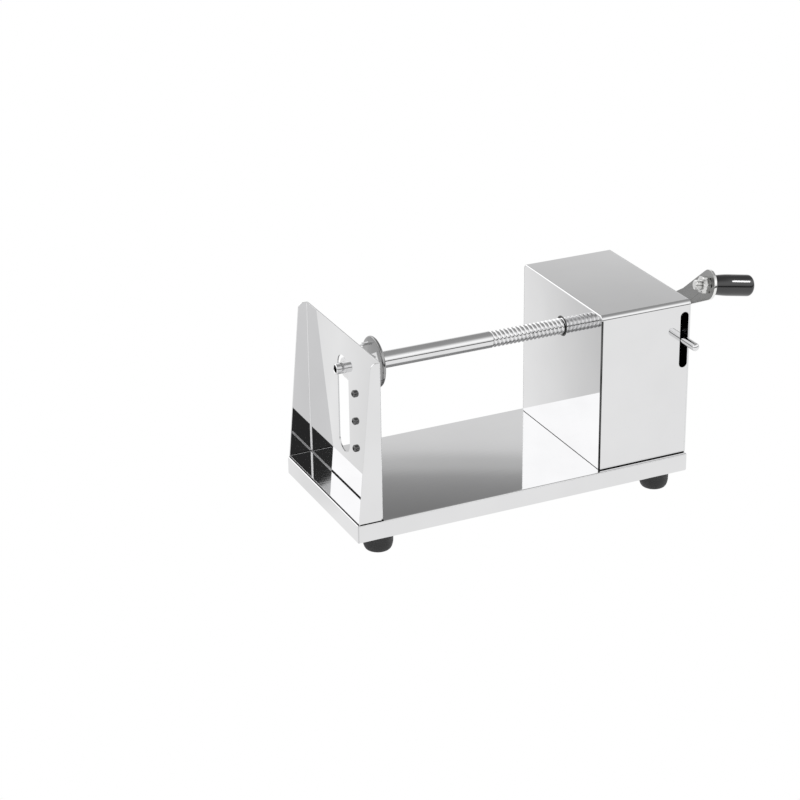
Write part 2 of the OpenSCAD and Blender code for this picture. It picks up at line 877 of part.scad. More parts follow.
// The grip's frame: z runs out along the grip from the middle of the arm's plate
module at_grip() {
    in_arm()
        translate([arm_x + arm_t / 2, 0, crank_r])
            rotate([0, 90, -tilt_angle])
                children();
}

// Flat hub, a twist, and the tilted outer length with its round end
module crank_arm() {
    lean = asin((arm_end_r - arm_neck) / (crank_r - twist_z1));
    side = [crank_r - arm_end_r * sin(lean), arm_end_r * cos(lean)];
    neck_z = twist_z1 - twist_lap;
    color([0.78, 0.79, 0.8])
        in_arm()
            union() {
                plate_x(arm_x, arm_t)
                    difference() {
                        union() {
                            circle(r = arm_hub_r);
                            translate([-arm_neck, 0])
                                square([2 * arm_neck, twist_z0]);
                        }
                        circle(r = stud_r + fit_gap);
                    }
                translate([arm_x + arm_t / 2, 0, twist_z0])
                    linear_extrude(twist_z1 - twist_z0, twist = tilt_angle, slices = twist_slices)
                        square([arm_t, 2 * arm_neck], center = true);
                translate([arm_x + arm_t / 2, 0, 0])
                    rotate([0, 0, -tilt_angle])
                        plate_x(-arm_t / 2, arm_t)
                            difference() {
                                union() {
                                    polygon([[-arm_neck, neck_z], [arm_neck, neck_z], [side[1], side[0]],
                                        [-side[1], side[0]]]);
                                    translate([0, crank_r])
                                        circle(r = arm_end_r);
                                }
                                translate([0, crank_r])
                                    circle(r = m8_r + fit_gap);
                            }
            }
}

module hub_washer() {
    color([0.75, 0.76, 0.77])
        along_x(arm_x + arm_t)
            ring(hub_washer_r, stud_r + fit_gap, washer_t);
}

module hub_nut() {
    color([0.75, 0.76, 0.77])
        along_x(arm_x + arm_t + washer_t)
            hex_nut(m10_flats, m10_nut_h, stud_r + fit_gap);
}

module grip_bolt() {
    head_z = grip_z0 + grip_l - grip_well + free_gap;
    tail_z = -arm_t / 2 - m8_nut_h - grip_bolt_past;
    color([0.7, 0.71, 0.72])
        at_grip()
            union() {
                translate([0, 0, tail_z])
                    cylinder(r = m8_r, h = head_z - tail_z + grip_head_h / 2);
                translate([0, 0, head_z])
                    cylinder(r = grip_head_r, h = grip_head_h);
            }
}

module grip_nut() {
    color([0.72, 0.73, 0.74])
        at_grip()
            translate([0, 0, -arm_t / 2 - m8_nut_h])
                hex_nut(m8_flats, m8_nut_h, m8_r + fit_gap);
}

module grip_washer() {
    color([0.72, 0.73, 0.74])
        at_grip()
            translate([0, 0, arm_t / 2])
                ring(grip_washer_r, m8_r + fit_gap, washer_t);
}

module grip() {
    bore = m8_r + run_gap;
    well = grip_head_r + free_gap;
    mid = grip_end_r - grip_round;
    last = acos((well - mid) / grip_round);
    color([0.06, 0.06, 0.07])
        at_grip()
            translate([0, 0, grip_z0])
                rotate_extrude()
                    polygon(concat([[bore, 0], [grip_r - grip_edge, 0], [grip_r, grip_edge]],
                        arc([mid, grip_l - grip_round], grip_round, 0, last, 8),
                        [[well, grip_l - grip_well], [bore, grip_l - grip_well]]));
}

base_tray();
place_foot(0, -1);  // foot_front_near
place_foot(0, 1);  // foot_front_far
place_foot(1, -1);  // foot_rear_near
place_foot(1, 1);  // foot_rear_far
foot_screws();
foot_nuts();
blade_plate();
plate_flange(-web_w / 2);  // plate_flange_near
plate_flange(plate_w / 2);  // plate_flange_far
plate_foot();
cutting_blade();
blade_screws();
blade_nuts();
guide_tube();
housing_cover();
front_panel();
rear_panel();
nut_bracket();
bracket_screws();
bracket_nuts();
rear_bush();
front_bush();
release_lever();
lever_pivot();
pivot_spacer();
pivot_nut();
half_nut();
half_nut_screws();
release_pin();
return_spring();
spring_post();
push_tube();
lead_screw();
pusher_disc();
pusher_prongs();
arm_collar();
crank_arm();
hub_washer();
hub_nut();
grip_bolt();
grip_nut();
grip_washer();
grip();
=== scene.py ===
import json
import math

import bmesh
import bpy
from mathutils import Matrix, Vector


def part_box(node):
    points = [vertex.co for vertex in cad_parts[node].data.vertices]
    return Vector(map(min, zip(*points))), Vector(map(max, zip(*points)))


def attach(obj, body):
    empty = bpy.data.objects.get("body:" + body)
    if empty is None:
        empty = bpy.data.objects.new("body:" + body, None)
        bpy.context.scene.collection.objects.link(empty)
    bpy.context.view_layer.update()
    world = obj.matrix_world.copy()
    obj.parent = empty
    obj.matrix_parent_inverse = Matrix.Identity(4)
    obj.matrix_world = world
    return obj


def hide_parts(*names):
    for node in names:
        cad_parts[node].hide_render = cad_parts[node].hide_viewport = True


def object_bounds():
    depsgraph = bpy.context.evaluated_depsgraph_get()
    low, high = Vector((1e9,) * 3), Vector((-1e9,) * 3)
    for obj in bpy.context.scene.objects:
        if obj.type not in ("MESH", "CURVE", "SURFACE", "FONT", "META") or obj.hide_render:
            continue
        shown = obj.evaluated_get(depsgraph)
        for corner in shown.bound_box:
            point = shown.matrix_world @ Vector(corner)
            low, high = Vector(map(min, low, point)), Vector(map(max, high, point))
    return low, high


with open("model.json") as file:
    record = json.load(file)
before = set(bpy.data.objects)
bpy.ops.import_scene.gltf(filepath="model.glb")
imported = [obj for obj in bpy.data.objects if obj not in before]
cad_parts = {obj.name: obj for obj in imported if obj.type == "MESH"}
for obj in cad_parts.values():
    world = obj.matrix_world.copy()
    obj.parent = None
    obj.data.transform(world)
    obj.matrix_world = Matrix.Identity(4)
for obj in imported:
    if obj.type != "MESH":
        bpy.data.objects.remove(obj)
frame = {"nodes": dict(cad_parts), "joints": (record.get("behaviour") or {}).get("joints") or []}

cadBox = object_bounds()
mm = 0.001
joints = {joint["name"]: joint for joint in frame["joints"]}
print("stage: frame loaded with", len(frame["nodes"]), "nodes")

# Materials: every look is worn steel, rubber or plastic built from noise, so none is one flat colour. Some
# are darker or lighter copies of steel, or a near-black strip, that paint shade, shadow or highlights; these
# are marked where they stand.

looks = {
    "mirrorSteel": {"colour": (0.765, 0.765, 0.77), "metal": 1, "rough": (0.008, 0.022), "patch": 22,
                    "grain": (9, 260, 260), "grainDepth": 0.002, "tint": 0.04},
    # mirror steel painted dark for the housing's near vertical curl: a painted dark reflection
    "edgeShadeSteel": {"colour": (0.1, 0.1, 0.1), "metal": 1, "rough": (0.2, 0.35), "patch": 90,
                  "grain": (260, 260, 30), "grainDepth": 0.02, "tint": 0.3},
    "discSteel": {"colour": (0.37, 0.37, 0.37), "metal": 1, "rough": (0.06, 0.1), "patch": 90,
                  "grain": (60, 60, 60), "grainDepth": 0.006, "tint": 0.12},
    "rodSteel": {"colour": (0.78, 0.78, 0.785), "metal": 1, "rough": (0.05, 0.11), "patch": 60,
                 "grain": (420, 30, 30), "grainDepth": 0.006, "tint": 0.05},
    # the thread's colour darkens toward the root: painted shade in the grooves
    "threadSteel": {"colour": (0.84, 0.84, 0.845), "metal": 1, "rough": (0.05, 0.11), "patch": 60,
                    "grain": (420, 30, 30), "grainDepth": 0.006, "tint": 0.05, "grooveShade": (6.1, 6.7, 0.8)},
    "bladeSteel": {"colour": (0.8, 0.8, 0.805), "metal": 1, "rough": (0.12, 0.24), "patch": 80,
                   "grain": (30, 30, 700), "grainDepth": 0.02, "tint": 0.06},
    "armSteel": {"colour": (0.31, 0.31, 0.305), "metal": 1, "rough": (0.14, 0.22), "patch": 70,
                 "grain": (500, 60, 60), "grainDepth": 0.008, "tint": 0.1},
    # lighter copy of the arm's steel for the bar's rim faces: a painted highlight
    "armRimHighlight": {"colour": (0.85, 0.85, 0.84), "metal": 1, "rough": (0.06, 0.1), "patch": 70,
               "grain": (60, 60, 60), "grainDepth": 0.002, "tint": 0.05},
    "zinc": {"colour": (0.7, 0.7, 0.69), "metal": 1, "rough": (0.08, 0.16), "patch": 120,
             "grain": (300, 300, 300), "grainDepth": 0.006, "tint": 0.1},
    # steel painted dark: painted dark reflections on the blade screw heads and painted shade in the ring
    # under the grip nut
    "paintedShadeSteel": {"colour": (0.15, 0.15, 0.15), "metal": 1, "rough": (0.06, 0.14), "patch": 240,
                   "grain": (300, 300, 300), "grainDepth": 0.01, "tint": 0.2},
    "leverSteel": {"colour": (0.07, 0.07, 0.072), "metal": 1, "rough": (0.4, 0.55), "patch": 60,
                   "grain": (120, 120, 120), "grainDepth": 0.05, "tint": 0.15},
    "plainSteel": {"colour": (0.36, 0.36, 0.365), "metal": 1, "rough": (0.3, 0.48), "patch": 60,
                   "grain": (120, 120, 120), "grainDepth": 0.05, "tint": 0.15},
    "bronze": {"colour": (0.62, 0.42, 0.2), "metal": 1, "rough": (0.25, 0.4), "patch": 90,
               "grain": (300, 60, 60), "grainDepth": 0.03, "tint": 0.15},
    "springSteel": {"colour": (0.4, 0.4, 0.42), "metal": 1, "rough": (0.25, 0.4), "patch": 200,
                    "grain": (200, 200, 200), "grainDepth": 0.02, "tint": 0.1},
    "rubber": {"colour": (0.022, 0.022, 0.023), "metal": 0, "rough": (0.5, 0.66), "patch": 120,
               "grain": (900, 900, 900), "grainDepth": 0.12, "tint": 0.3},
    "nylon": {"colour": (0.018, 0.018, 0.019), "metal": 0, "rough": (0.38, 0.5), "patch": 200,
              "grain": (900, 200, 200), "grainDepth": 0.06, "tint": 0.2},
    "bushNylon": {"colour": (0.075, 0.075, 0.073), "metal": 0, "rough": (0.2, 0.3), "patch": 200,
                  "grain": (900, 200, 200), "grainDepth": 0.02, "tint": 0.3},
    # near-black look for strips that paint the shadow in narrow joints
    "shadowSeam": {"colour": (0.008, 0.008, 0.008), "metal": 0, "rough": (0.6, 0.8), "patch": 200,
             "grain": (300, 300, 300), "grainDepth": 0.02, "tint": 0.2, "ior": 1.2},
    "gloss": {"colour": (0.014, 0.014, 0.015), "metal": 0, "rough": (0.045, 0.09), "patch": 45,
              "grain": (160, 160, 160), "grainDepth": 0.003, "tint": 0.2, "ior": 1.7},
}
wear = {"dullFrom": 0.35, "dullTo": 0.7, "patchDetail": 5, "tintFrom": 0.3, "tintTo": 0.75,
        "grainScale": 3, "grainDetail": 3, "bump": 0.5, "ior": 1.5}


def addNode(tree, kind, inputs, operation=None):
    node = tree.nodes.new(kind)
    if operation:
        node.operation = operation
    for socket, value in inputs.items():
        if isinstance(value, bpy.types.NodeSocket):
            tree.links.new(value, node.inputs[socket])
        else:
            node.inputs[socket].default_value = value
    return node


def makeLook(name, values):
    material = bpy.data.materials.new(name)
    material.use_nodes = True
    tree = material.node_tree
    shader = tree.nodes["Principled BSDF"]
    shader.inputs["Metallic"].default_value = values["metal"]
    shader.inputs["IOR"].default_value = values.get("ior", wear["ior"])
    place = addNode(tree, "ShaderNodeTexCoord", {}).outputs["Object"]

    patches = addNode(tree, "ShaderNodeTexNoise", {  # handling marks: where the polish is duller
        "Scale": values["patch"], "Detail": wear["patchDetail"], "Vector": place}).outputs["Fac"]
    smoothest, dullest = values["rough"]
    dull = addNode(tree, "ShaderNodeMapRange", {
        "From Min": wear["dullFrom"], "From Max": wear["dullTo"], "To Min": smoothest, "To Max": dullest,
        "Value": patches})
    tree.links.new(dull.outputs["Result"], shader.inputs["Roughness"])

    tint = addNode(tree, "ShaderNodeValToRGB", {"Fac": patches})
    low, high = tint.color_ramp.elements
    low.position = wear["tintFrom"]
    low.color = (*[c * (1 - values["tint"]) for c in values["colour"]], 1)
    high.position = wear["tintTo"]
    high.color = (*values["colour"], 1)
    colour = tint.outputs["Color"]
    if "grooveShade" in values:
        colour = shadeGrooves(tree, place, colour, *values["grooveShade"])
    tree.links.new(colour, shader.inputs["Base Color"])

    stretch = addNode(tree, "ShaderNodeMapping", {  # polishing lines run along the smallest scale
        "Scale": values["grain"], "Vector": place})
    grain = addNode(tree, "ShaderNodeTexNoise", {
        "Scale": wear["grainScale"], "Detail": wear["grainDetail"], "Vector": stretch.outputs["Vector"]})
    bump = addNode(tree, "ShaderNodeBump", {
        "Strength": wear["bump"], "Distance": values["grainDepth"] * mm, "Height": grain.outputs["Fac"]})
    tree.links.new(bump.outputs["Normal"], shader.inputs["Normal"])
    return material


# Painted shade: darkens the colour from the crest radius down to the root radius of a thread
def shadeGrooves(tree, place, colour, root, crest, depth):
    across = addNode(tree, "ShaderNodeVectorMath", {0: place, 1: (0, 1, 1)}, "MULTIPLY")
    fromAxis = addNode(tree, "ShaderNodeVectorMath", {0: across.outputs["Vector"]}, "LENGTH")
    rootShade = addNode(tree, "ShaderNodeMapRange", {
        "From Min": root * mm, "From Max": crest * mm, "To Min": depth, "To Max": 1,
        "Value": fromAxis.outputs["Value"]})
    shade = addNode(tree, "ShaderNodeVectorMath", {0: colour, "Scale": rootShade.outputs["Result"]}, "SCALE")
    return shade.outputs["Vector"]


materials = {name: makeLook(name, values) for name, values in looks.items()}
print("stage: materials")

# Mesh tools

build = {"weld": 1e-6, "threadWeld": 1e-7, "onAxis": 1e-9, "sharp": 35, "bevelSteps": 3, "bevelAngle": 40,
         "flatWeight": 100}


def addPiece(name, bm, look, body, nodes=(), sheet=0.0, bevel=0.0, sharp=build["sharp"]):
    bmesh.ops.remove_doubles(bm, verts=bm.verts, dist=build["weld"])
    mesh = bpy.data.meshes.new(name)
    bm.to_mesh(mesh)
    bm.free()
    mesh.materials.append(materials[look])
    for face in mesh.polygons:
        face.use_smooth = True
    piece = bpy.data.objects.new(name, mesh)
    bpy.context.scene.collection.objects.link(piece)
    if sheet:
        skin = piece.modifiers.new("sheet", "SOLIDIFY")
        skin.thickness = sheet
        skin.offset = -1
        skin.use_even_offset = True
    if bevel:
        roundEdges(piece, bevel)
    else:
        mesh.set_sharp_from_angle(angle=math.radians(sharp))
    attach(piece, body)
    if nodes:
        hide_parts(*nodes)
    return piece


def roundEdges(piece, width):
    edge = piece.modifiers.new("edges", "BEVEL")
    edge.width = width
    edge.segments = build["bevelSteps"]
    edge.limit_method = "ANGLE"
    edge.angle_limit = math.radians(build["bevelAngle"])
    edge.harden_normals = False
    flat = piece.modifiers.new("flat", "WEIGHTED_NORMAL")
    flat.weight = build["flatWeight"]
    flat.keep_sharp = True


def dressNode(node, look, bevel=0.0):
    piece = frame["nodes"][node]
    piece.data.materials.clear()
    piece.data.materials.append(materials[look])
    for face in piece.data.polygons:
        face.material_index = 0
        face.use_smooth = True
    weld = piece.modifiers.new("weld", "WELD")
    weld.merge_threshold = build["weld"]
    if bevel:
        roundEdges(piece, bevel)


def jointBox(*nodes):
    boxes = [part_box(node) for node in nodes]
    return (Vector([min(lo[i] for lo, _ in boxes) for i in range(3)]),
            Vector([max(hi[i] for _, hi in boxes) for i in range(3)]))


def hexRadius(flats, angle):
    return flats / 2 / math.cos((angle + math.pi / 6) % (math.pi / 3) - math.pi / 6)


def axisMatrix(at, along):
    along = Vector(along).normalized()
    return Matrix.Translation(at) @ along.to_track_quat("Z", "Y").to_matrix().to_4x4()


def lathe(bm, profile, at, along, steps=96, closed=True, hexRows=(), turn=0.0):
    matrix = axisMatrix(at, along)
    rings = []
    for row, (radius, height) in enumerate(profile):
        if radius < build["onAxis"]:
            rings.append([bm.verts.new(matrix @ Vector((0, 0, height)))] * steps)
            continue
        ring = []
        for step in range(steps):
            angle = 2 * math.pi * step / steps + turn
            r = hexRadius(radius * 2, angle - turn) if row in hexRows else radius
            ring.append(bm.verts.new(matrix @ Vector((r * math.cos(angle), r * math.sin(angle), height))))
        rings.append(ring)
    pairs = list(zip(rings, rings[1:])) + ([(rings[-1], rings[0])] if closed else [])
    faces = []
    for a, b in pairs:
        for step in range(steps):
            nextStep = (step + 1) % steps
            corners = []
            for vert in (a[step], a[nextStep], b[nextStep], b[step]):
                if vert not in corners:
                    corners.append(vert)
            if len(corners) > 2:
                faces.append(bm.faces.new(corners))
    bmesh.ops.recalc_face_normals(bm, faces=faces)


def addTurned(name, profile, at, along, look, body, nodes=(), sharp=build["sharp"], **turning):
    bm = bmesh.new()
    lathe(bm, profile, at, along, **turning)
    return addPiece(name, bm, look, body, nodes, sharp=sharp)


def latheDisc(radius, bore, thick, edge):
    return [(bore, edge), (bore + edge, 0), (radius - edge, 0), (radius, edge),
            (radius, thick - edge), (radius - edge, thick), (bore + edge, thick), (bore, thick - edge)]


def arcPoints(centre, radius, start, end, count):
    angles = [math.radians(start + (end - start) * i / count) for i in range(count + 1)]
    return [(centre[0] + radius * math.cos(a), centre[1] + radius * math.sin(a)) for a in angles]


def fillLoops(bm, loops, toSpace):
    edges = []
    for loop in loops:
        verts = [bm.verts.new(toSpace(*point)) for point in loop]
        edges += [bm.edges.new((a, b)) for a, b in zip(verts, verts[1:] + verts[:1])]
    bmesh.ops.triangle_fill(bm, edges=edges, use_beauty=True)


def faceOut(bm, outward):
    bmesh.ops.remove_doubles(bm, verts=bm.verts, dist=build["weld"])
    bmesh.ops.recalc_face_normals(bm, faces=bm.faces)
    biggest = max(bm.faces, key=lambda face: face.calc_area())
    if biggest.normal.dot(Vector(outward)) < 0:
        bmesh.ops.reverse_faces(bm, faces=bm.faces)


def slab(bm, loops, toSpace, outward, thick):
    fillLoops(bm, loops, toSpace)
    faceOut(bm, outward)
    grown = bmesh.ops.extrude_face_region(bm, geom=bm.faces[:])
    verts = [item for item in grown["geom"] if isinstance(item, bmesh.types.BMVert)]
    bmesh.ops.translate(bm, verts=verts, vec=Vector(outward).normalized() * thick)
    bmesh.ops.recalc_face_normals(bm, faces=bm.faces)


def strip(bm, rows):
    made = [[bm.verts.new(point) for point in row] for row in rows]
    for a, b in zip(made, made[1:]):
        for i in range(len(a) - 1):
            bm.faces.new((a[i], a[i + 1], b[i + 1], b[i]))


def circle(y, z, radius, count=48):
    return [(y + radius * math.cos(2 * math.pi * i / count), z + radius * math.sin(2 * math.pi * i / count))
            for i in range(count)]


def slotLoop(y, z0, z1, radius, count=24):
    return (arcPoints((y, z1 - radius), radius, 0, 180, count)
            + arcPoints((y, z0 + radius), radius, 180, 360, count))


def quarterTurn(steps):
    return [math.pi / 2 * k / steps for k in range(steps + 1)]


# Base tray: top, four folded flanges with open corner seams, and mitred lips below

tray = {"sheet": 1.2 * mm, "bend": 1.1 * mm, "bendSteps": 4, "lip": 30 * mm, "shadowSeam": 0.3 * mm,
        "edge": 0.16 * mm}


def makeTray():
    lo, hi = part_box("base_tray")
    b = tray["bend"]
    bm = bmesh.new()
    corners = [Vector((lo.x + b, lo.y + b, 0)), Vector((hi.x - b, lo.y + b, 0)),
               Vector((hi.x - b, hi.y - b, 0)), Vector((lo.x + b, hi.y - b, 0))]
    top = Vector((0, 0, hi.z))
    strip(bm, [[corners[0] + top, corners[1] + top], [corners[3] + top, corners[2] + top]])
    turns = quarterTurn(tray["bendSteps"])
    rows = [(b * math.sin(a), hi.z - b + b * math.cos(a), 0) for a in turns]
    rows += [(b * math.cos(a), lo.z + b - b * math.sin(a), 0) for a in turns]
    inward = tray["lip"] - b
    rows.append((-inward, lo.z, inward + tray["shadowSeam"]))
    for a, c in zip(corners, corners[1:] + corners[:1]):
        ahead = (c - a).normalized()
        out = Vector((ahead.y, -ahead.x, 0))
        strip(bm, [[a + out * push + ahead * pull + Vector((0, 0, z)),
                    c + out * push - ahead * pull + Vector((0, 0, z))] for push, z, pull in rows])
    faceOut(bm, (0, 0, 1))
    addPiece("tray", bm, "mirrorSteel", "frame", ["base_tray"], sheet=tray["sheet"], bevel=tray["edge"])


makeTray()

# Painted shadow: near-black strips in the narrow joints where a sheet stands on another, and along the
# plate's fold, which is lighter at its far end, where a plain steel strip is a painted highlight

# sizes of the painted shadow strips
shadowSeam = {"high": 0.75 * mm, "panelHigh": 0.25 * mm, "out": 0.3 * mm, "thick": 0.9 * mm, "edge": 0.1 * mm}


def makeShadowStrip(name, start, end, outward, high=shadowSeam["high"], look="shadowSeam"):
    start, end = Vector(start), Vector(end)
    front, back = Vector(outward) * shadowSeam["out"], Vector(outward) * shadowSeam["thick"]
    bm = bmesh.new()
    corners = [start + front, end + front, end - back, start - back]
    up = Vector((0, 0, high))
    strip(bm, [corners + corners[:1], [corner + up for corner in corners] + [corners[0] + up]])
    bm.faces.new([bm.verts.new(corner + up) for corner in corners])
    faceOut(bm, (0, 0, 1))
    addPiece(name, bm, look, "frame", bevel=shadowSeam["edge"])


# Feet: rubber buffers with a step under the lip and a screw in a well

foot = {"topBand": 1.2 * mm, "bandStep": 0.35 * mm, "draft": 0.5 * mm, "straight": 0.45, "tip": 9 * mm,
        "roundStep": 10, "well": 4.6 * mm, "wellDeep": 6 * mm, "wellEdge": 0.3 * mm, "bore": 2.05 * mm,
        "sharp": 50}
footScrew = {"head": 3.5 * mm, "headHigh": 2.6 * mm, "edge": 0.4 * mm, "socket": 2.5 * mm,
             "socketDeep": 1.4 * mm, "shank": 2 * mm, "steps": 48, "nutEdge": 0.15 * mm}


def makeFoot(node):
    lo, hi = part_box(node)
    radius, high = (hi.x - lo.x) / 2, hi.z - lo.z
    centre = Vector(((lo.x + hi.x) / 2, (lo.y + hi.y) / 2, hi.z))
    low = radius - foot["draft"]
    wall = high * foot["straight"]
    rounding = [(foot["tip"] + (low - foot["tip"]) * math.cos(math.radians(a)),
                 wall + (high - wall) * math.sin(math.radians(a))) for a in range(0, 91, foot["roundStep"])]
    profile = [(foot["bore"], 0), (radius, 0), (radius, foot["topBand"]),
               (radius - foot["bandStep"], foot["topBand"] + foot["bandStep"])] + rounding
    profile += [(foot["well"] + foot["wellEdge"], high), (foot["well"], high - foot["wellEdge"]),
                (foot["well"], high - foot["wellDeep"]), (foot["bore"], high - foot["wellDeep"])]
    addTurned(node + "_rubber", profile, centre, (0, 0, -1), "rubber", "frame", [node], foot["sharp"])
    return centre, high


feet = [makeFoot(node) for node in ("foot_front_near", "foot_front_far", "foot_rear_near", "foot_rear_far")]


def socketRows(screw, top):
    deep = top - screw["socketDeep"]
    return [(0, deep), (screw["socket"] / 2, deep), (screw["socket"] / 2, top)]


def makeFootScrews():
    s = footScrew
    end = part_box("foot_screws")[1].z
    bm = bmesh.new()
    for centre, high in feet:
        seat = high - foot["wellDeep"]
        top = seat + s["headHigh"]
        tip = centre.z - end
        profile = socketRows(s, top)
        profile += [(s["head"] - s["edge"], top), (s["head"], top - s["edge"]), (s["head"], seat),
                    (s["shank"], seat), (s["shank"], tip), (0, tip)]
        lathe(bm, profile, centre, (0, 0, -1), steps=s["steps"], closed=False, hexRows=(1, 2))
    addPiece("foot_screw_set", bm, "zinc", "frame", ["foot_screws"])


makeFootScrews()
dressNode("foot_nuts", "zinc", footScrew["nutEdge"])
print("stage: tray and feet")

# Blade plate: web with the slicing slot, side flanges that lean back, bottom flange

plate = {"sheet": 1.2 * mm, "bend": 1.9 * mm, "bendSteps": 8, "foldOut": 0.3 * mm, "foldHigh": 1.1 * mm,
         "foldHighlight": 43 * mm, "lean": 12.1 * mm, "corner": 5 * mm, "cornerFrom": 174, "cornerSteps": 10,
         "relief": 0.4 * mm, "slotWide": 21.5 * mm, "slotDrop": 73.6 * mm, "screwHole": 2.05 * mm,
         "holeSteps": 24, "edge": 0.16 * mm}
screws = {"count": 3, "nodeHead": 3.5 * mm, "nodeHigh": 3.6 * mm, "head": 3 * mm, "dome": 2.9 * mm,
          "domeLow": 0.35, "domeTo": 60, "domeStep": 10, "socket": 2.5 * mm, "socketDeep": 1.8 * mm,
          "shank": 2 * mm, "tip": 1.6 * mm, "tipEdge": 0.4 * mm, "steps": 48, "nutFlats": 7 * mm,
          "nutBore": 2.05 * mm}


def screwPlaces():
    lo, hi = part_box("blade_screws")
    top, bottom = hi.z - screws["nodeHead"], lo.z + screws["nodeHead"]
    gaps = screws["count"] - 1
    return [Vector((0, (lo.y + hi.y) / 2, top + (bottom - top) * i / gaps)) for i in range(gaps + 1)]


def makePlate():
    nodes = ("blade_plate", "plate_flange_near", "plate_flange_far", "plate_foot")
    lo, hi = jointBox(*nodes)
    b = plate["bend"]
    bm = bmesh.new()
    y0, y1, zb = lo.y + b, hi.y - b, lo.z + b
    radius = plate["slotWide"] / 2
    loops = [[(y0, zb), (y1, zb), (y1, hi.z), (y0, hi.z)],
             slotLoop(0, -plate["slotDrop"], radius, radius)]
    loops += [circle(at.y, at.z, plate["screwHole"], plate["holeSteps"]) for at in screwPlaces()]
    fillLoops(bm, loops, lambda y, z: Vector((hi.x, y, z)))
    turns = quarterTurn(plate["bendSteps"])
    for side, edge in ((-1, y0), (1, y1)):
        strip(bm, [[Vector((hi.x - b + b * math.cos(a), edge + side * b * math.sin(a), z))
                    for z in (zb, hi.z)] for a in turns])
        high = lo.x + plate["lean"]
        r = plate["corner"]
        outline = [(hi.x - b, lo.z + plate["relief"]), (lo.x, lo.z + plate["relief"])]
        outline += arcPoints((high + r, hi.z - r), r, plate["cornerFrom"], 90, plate["cornerSteps"])
        outline += [(hi.x - b, hi.z), (hi.x - b, zb)]
        bm.faces.new([bm.verts.new((x, edge + side * b, z)) for x, z in outline])
    rows = [[Vector((hi.x - b + b * math.cos(a), y, zb - b * math.sin(a))) for y in (y0, y1)] for a in turns]
    rows.append([Vector((lo.x, y0, lo.z)), Vector((lo.x, y1, lo.z))])
    strip(bm, rows)
    faceOut(bm, (1, 0, 0))
    addPiece("blade_plate_sheet", bm, "mirrorSteel", "frame", nodes, sheet=plate["sheet"],
             bevel=plate["edge"])


makePlate()


def makePlateShadowStrips():
    lo = jointBox("plate_foot", "plate_flange_near")[0]
    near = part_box("plate_flange_near")[0].y
    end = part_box("plate_foot")[1].y
    # near-black strips of painted shadow along the plate's foot and its flanges
    makeShadowStrip("plate_foot_shadow_strip", (lo.x, -end, lo.z), (lo.x, end, lo.z), (-1, 0, 0))
    makeShadowStrip("plate_side_shadow_strip", (lo.x + shadowSeam["thick"], near, lo.z), (0, near, lo.z), (0, -1, 0))
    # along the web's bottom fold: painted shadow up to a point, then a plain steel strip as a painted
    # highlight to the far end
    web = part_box("blade_plate")
    foldX, foldZ = web[0].x - plate["foldOut"], web[0].z + plate["foldHigh"]
    highlightFrom = web[1].y - plate["foldHighlight"]
    makeShadowStrip("plate_fold_shadow_strip", (foldX, web[0].y, foldZ), (foldX, highlightFrom, foldZ), (-1, 0, 0))
    makeShadowStrip("plate_fold_highlight_strip", (foldX, highlightFrom, foldZ), (foldX, web[1].y, foldZ), (-1, 0, 0),
             look="plainSteel")
    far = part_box("plate_flange_far")[0].y
    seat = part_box("plate_foot")[1].z
    makeShadowStrip("plate_far_shadow_strip", (lo.x + shadowSeam["thick"], far, seat), (web[0].x, far, seat), (0, -1, 0))


makePlateShadowStrips()


def makeBladeScrews():
    lo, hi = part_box("blade_screws")
    s = screws
    seat = lo.x + s["nodeHigh"]
    dome = [(s["head"] * math.cos(math.radians(a)),
             s["dome"] * (s["domeLow"] + (1 - s["domeLow"]) * math.sin(math.radians(a))))
            for a in range(0, s["domeTo"] + 1, s["domeStep"])]
    profile = socketRows(s, dome[-1][1]) + dome[::-1]
    profile += [(s["head"], 0), (s["shank"], 0), (s["shank"], seat - hi.x + s["tipEdge"]),
                (s["tip"], seat - hi.x), (0, seat - hi.x)]
    bm = bmesh.new()
    for at in screwPlaces():
        lathe(bm, profile, (seat, at.y, at.z), (-1, 0, 0), steps=s["steps"], closed=False, hexRows=(1, 2))
    # the screw heads take the steel painted dark: painted dark reflection
    addPiece("blade_screw_set", bm, "paintedShadeSteel", "frame", ["blade_screws"])


makeBladeScrews()

nut = {"rim": 0.45 * mm, "faceEdge": 0.1 * mm, "slope": 30, "steps": 72}


def nutDrop(flats):
    corner = flats / 2 / math.cos(math.pi / 6) - flats / 2
    return corner * math.tan(math.radians(nut["slope"]))


def addNut(bm, flats, bore, high, at, along, turn=0.0):
    rim, drop = nut["rim"], nutDrop(flats)
    face = flats / 2 - nut["faceEdge"]
    profile = [(bore, rim), (bore + rim, 0), (face, 0), (flats / 2, drop), (flats / 2, high - drop),
               (face, high), (bore + rim, high), (bore, high - rim)]
    lathe(bm, profile, at, along, steps=nut["steps"], hexRows=(3, 4), turn=turn)


def makeBladeNuts():
    lo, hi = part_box("blade_nuts")
    bm = bmesh.new()
    for at in screwPlaces():
        addNut(bm, screws["nutFlats"], screws["nutBore"], hi.x - lo.x, (lo.x, at.y, at.z), (1, 0, 0))
    addPiece("blade_nut_set", bm, "zinc", "frame", ["blade_nuts"])


makeBladeNuts()

bladeEdge = 0.12 * mm
dressNode("cutting_blade", "bladeSteel", bladeEdge)

guide = {"bore": 3.2 * mm, "edge": 0.5 * mm}


def makeGuide():
    lo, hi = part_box("guide_tube")
    profile = latheDisc((hi.y - lo.y) / 2, guide["bore"], hi.x - lo.x, guide["edge"])
    addTurned("guide_tube_turned", profile, (lo.x, 0, 0), (1, 0, 0), "rodSteel", "frame", ["guide_tube"])


makeGuide()
print("stage: blade plate")

# Housing: folded cover with the release slot, inset front panel with turned flanges, flat rear panel

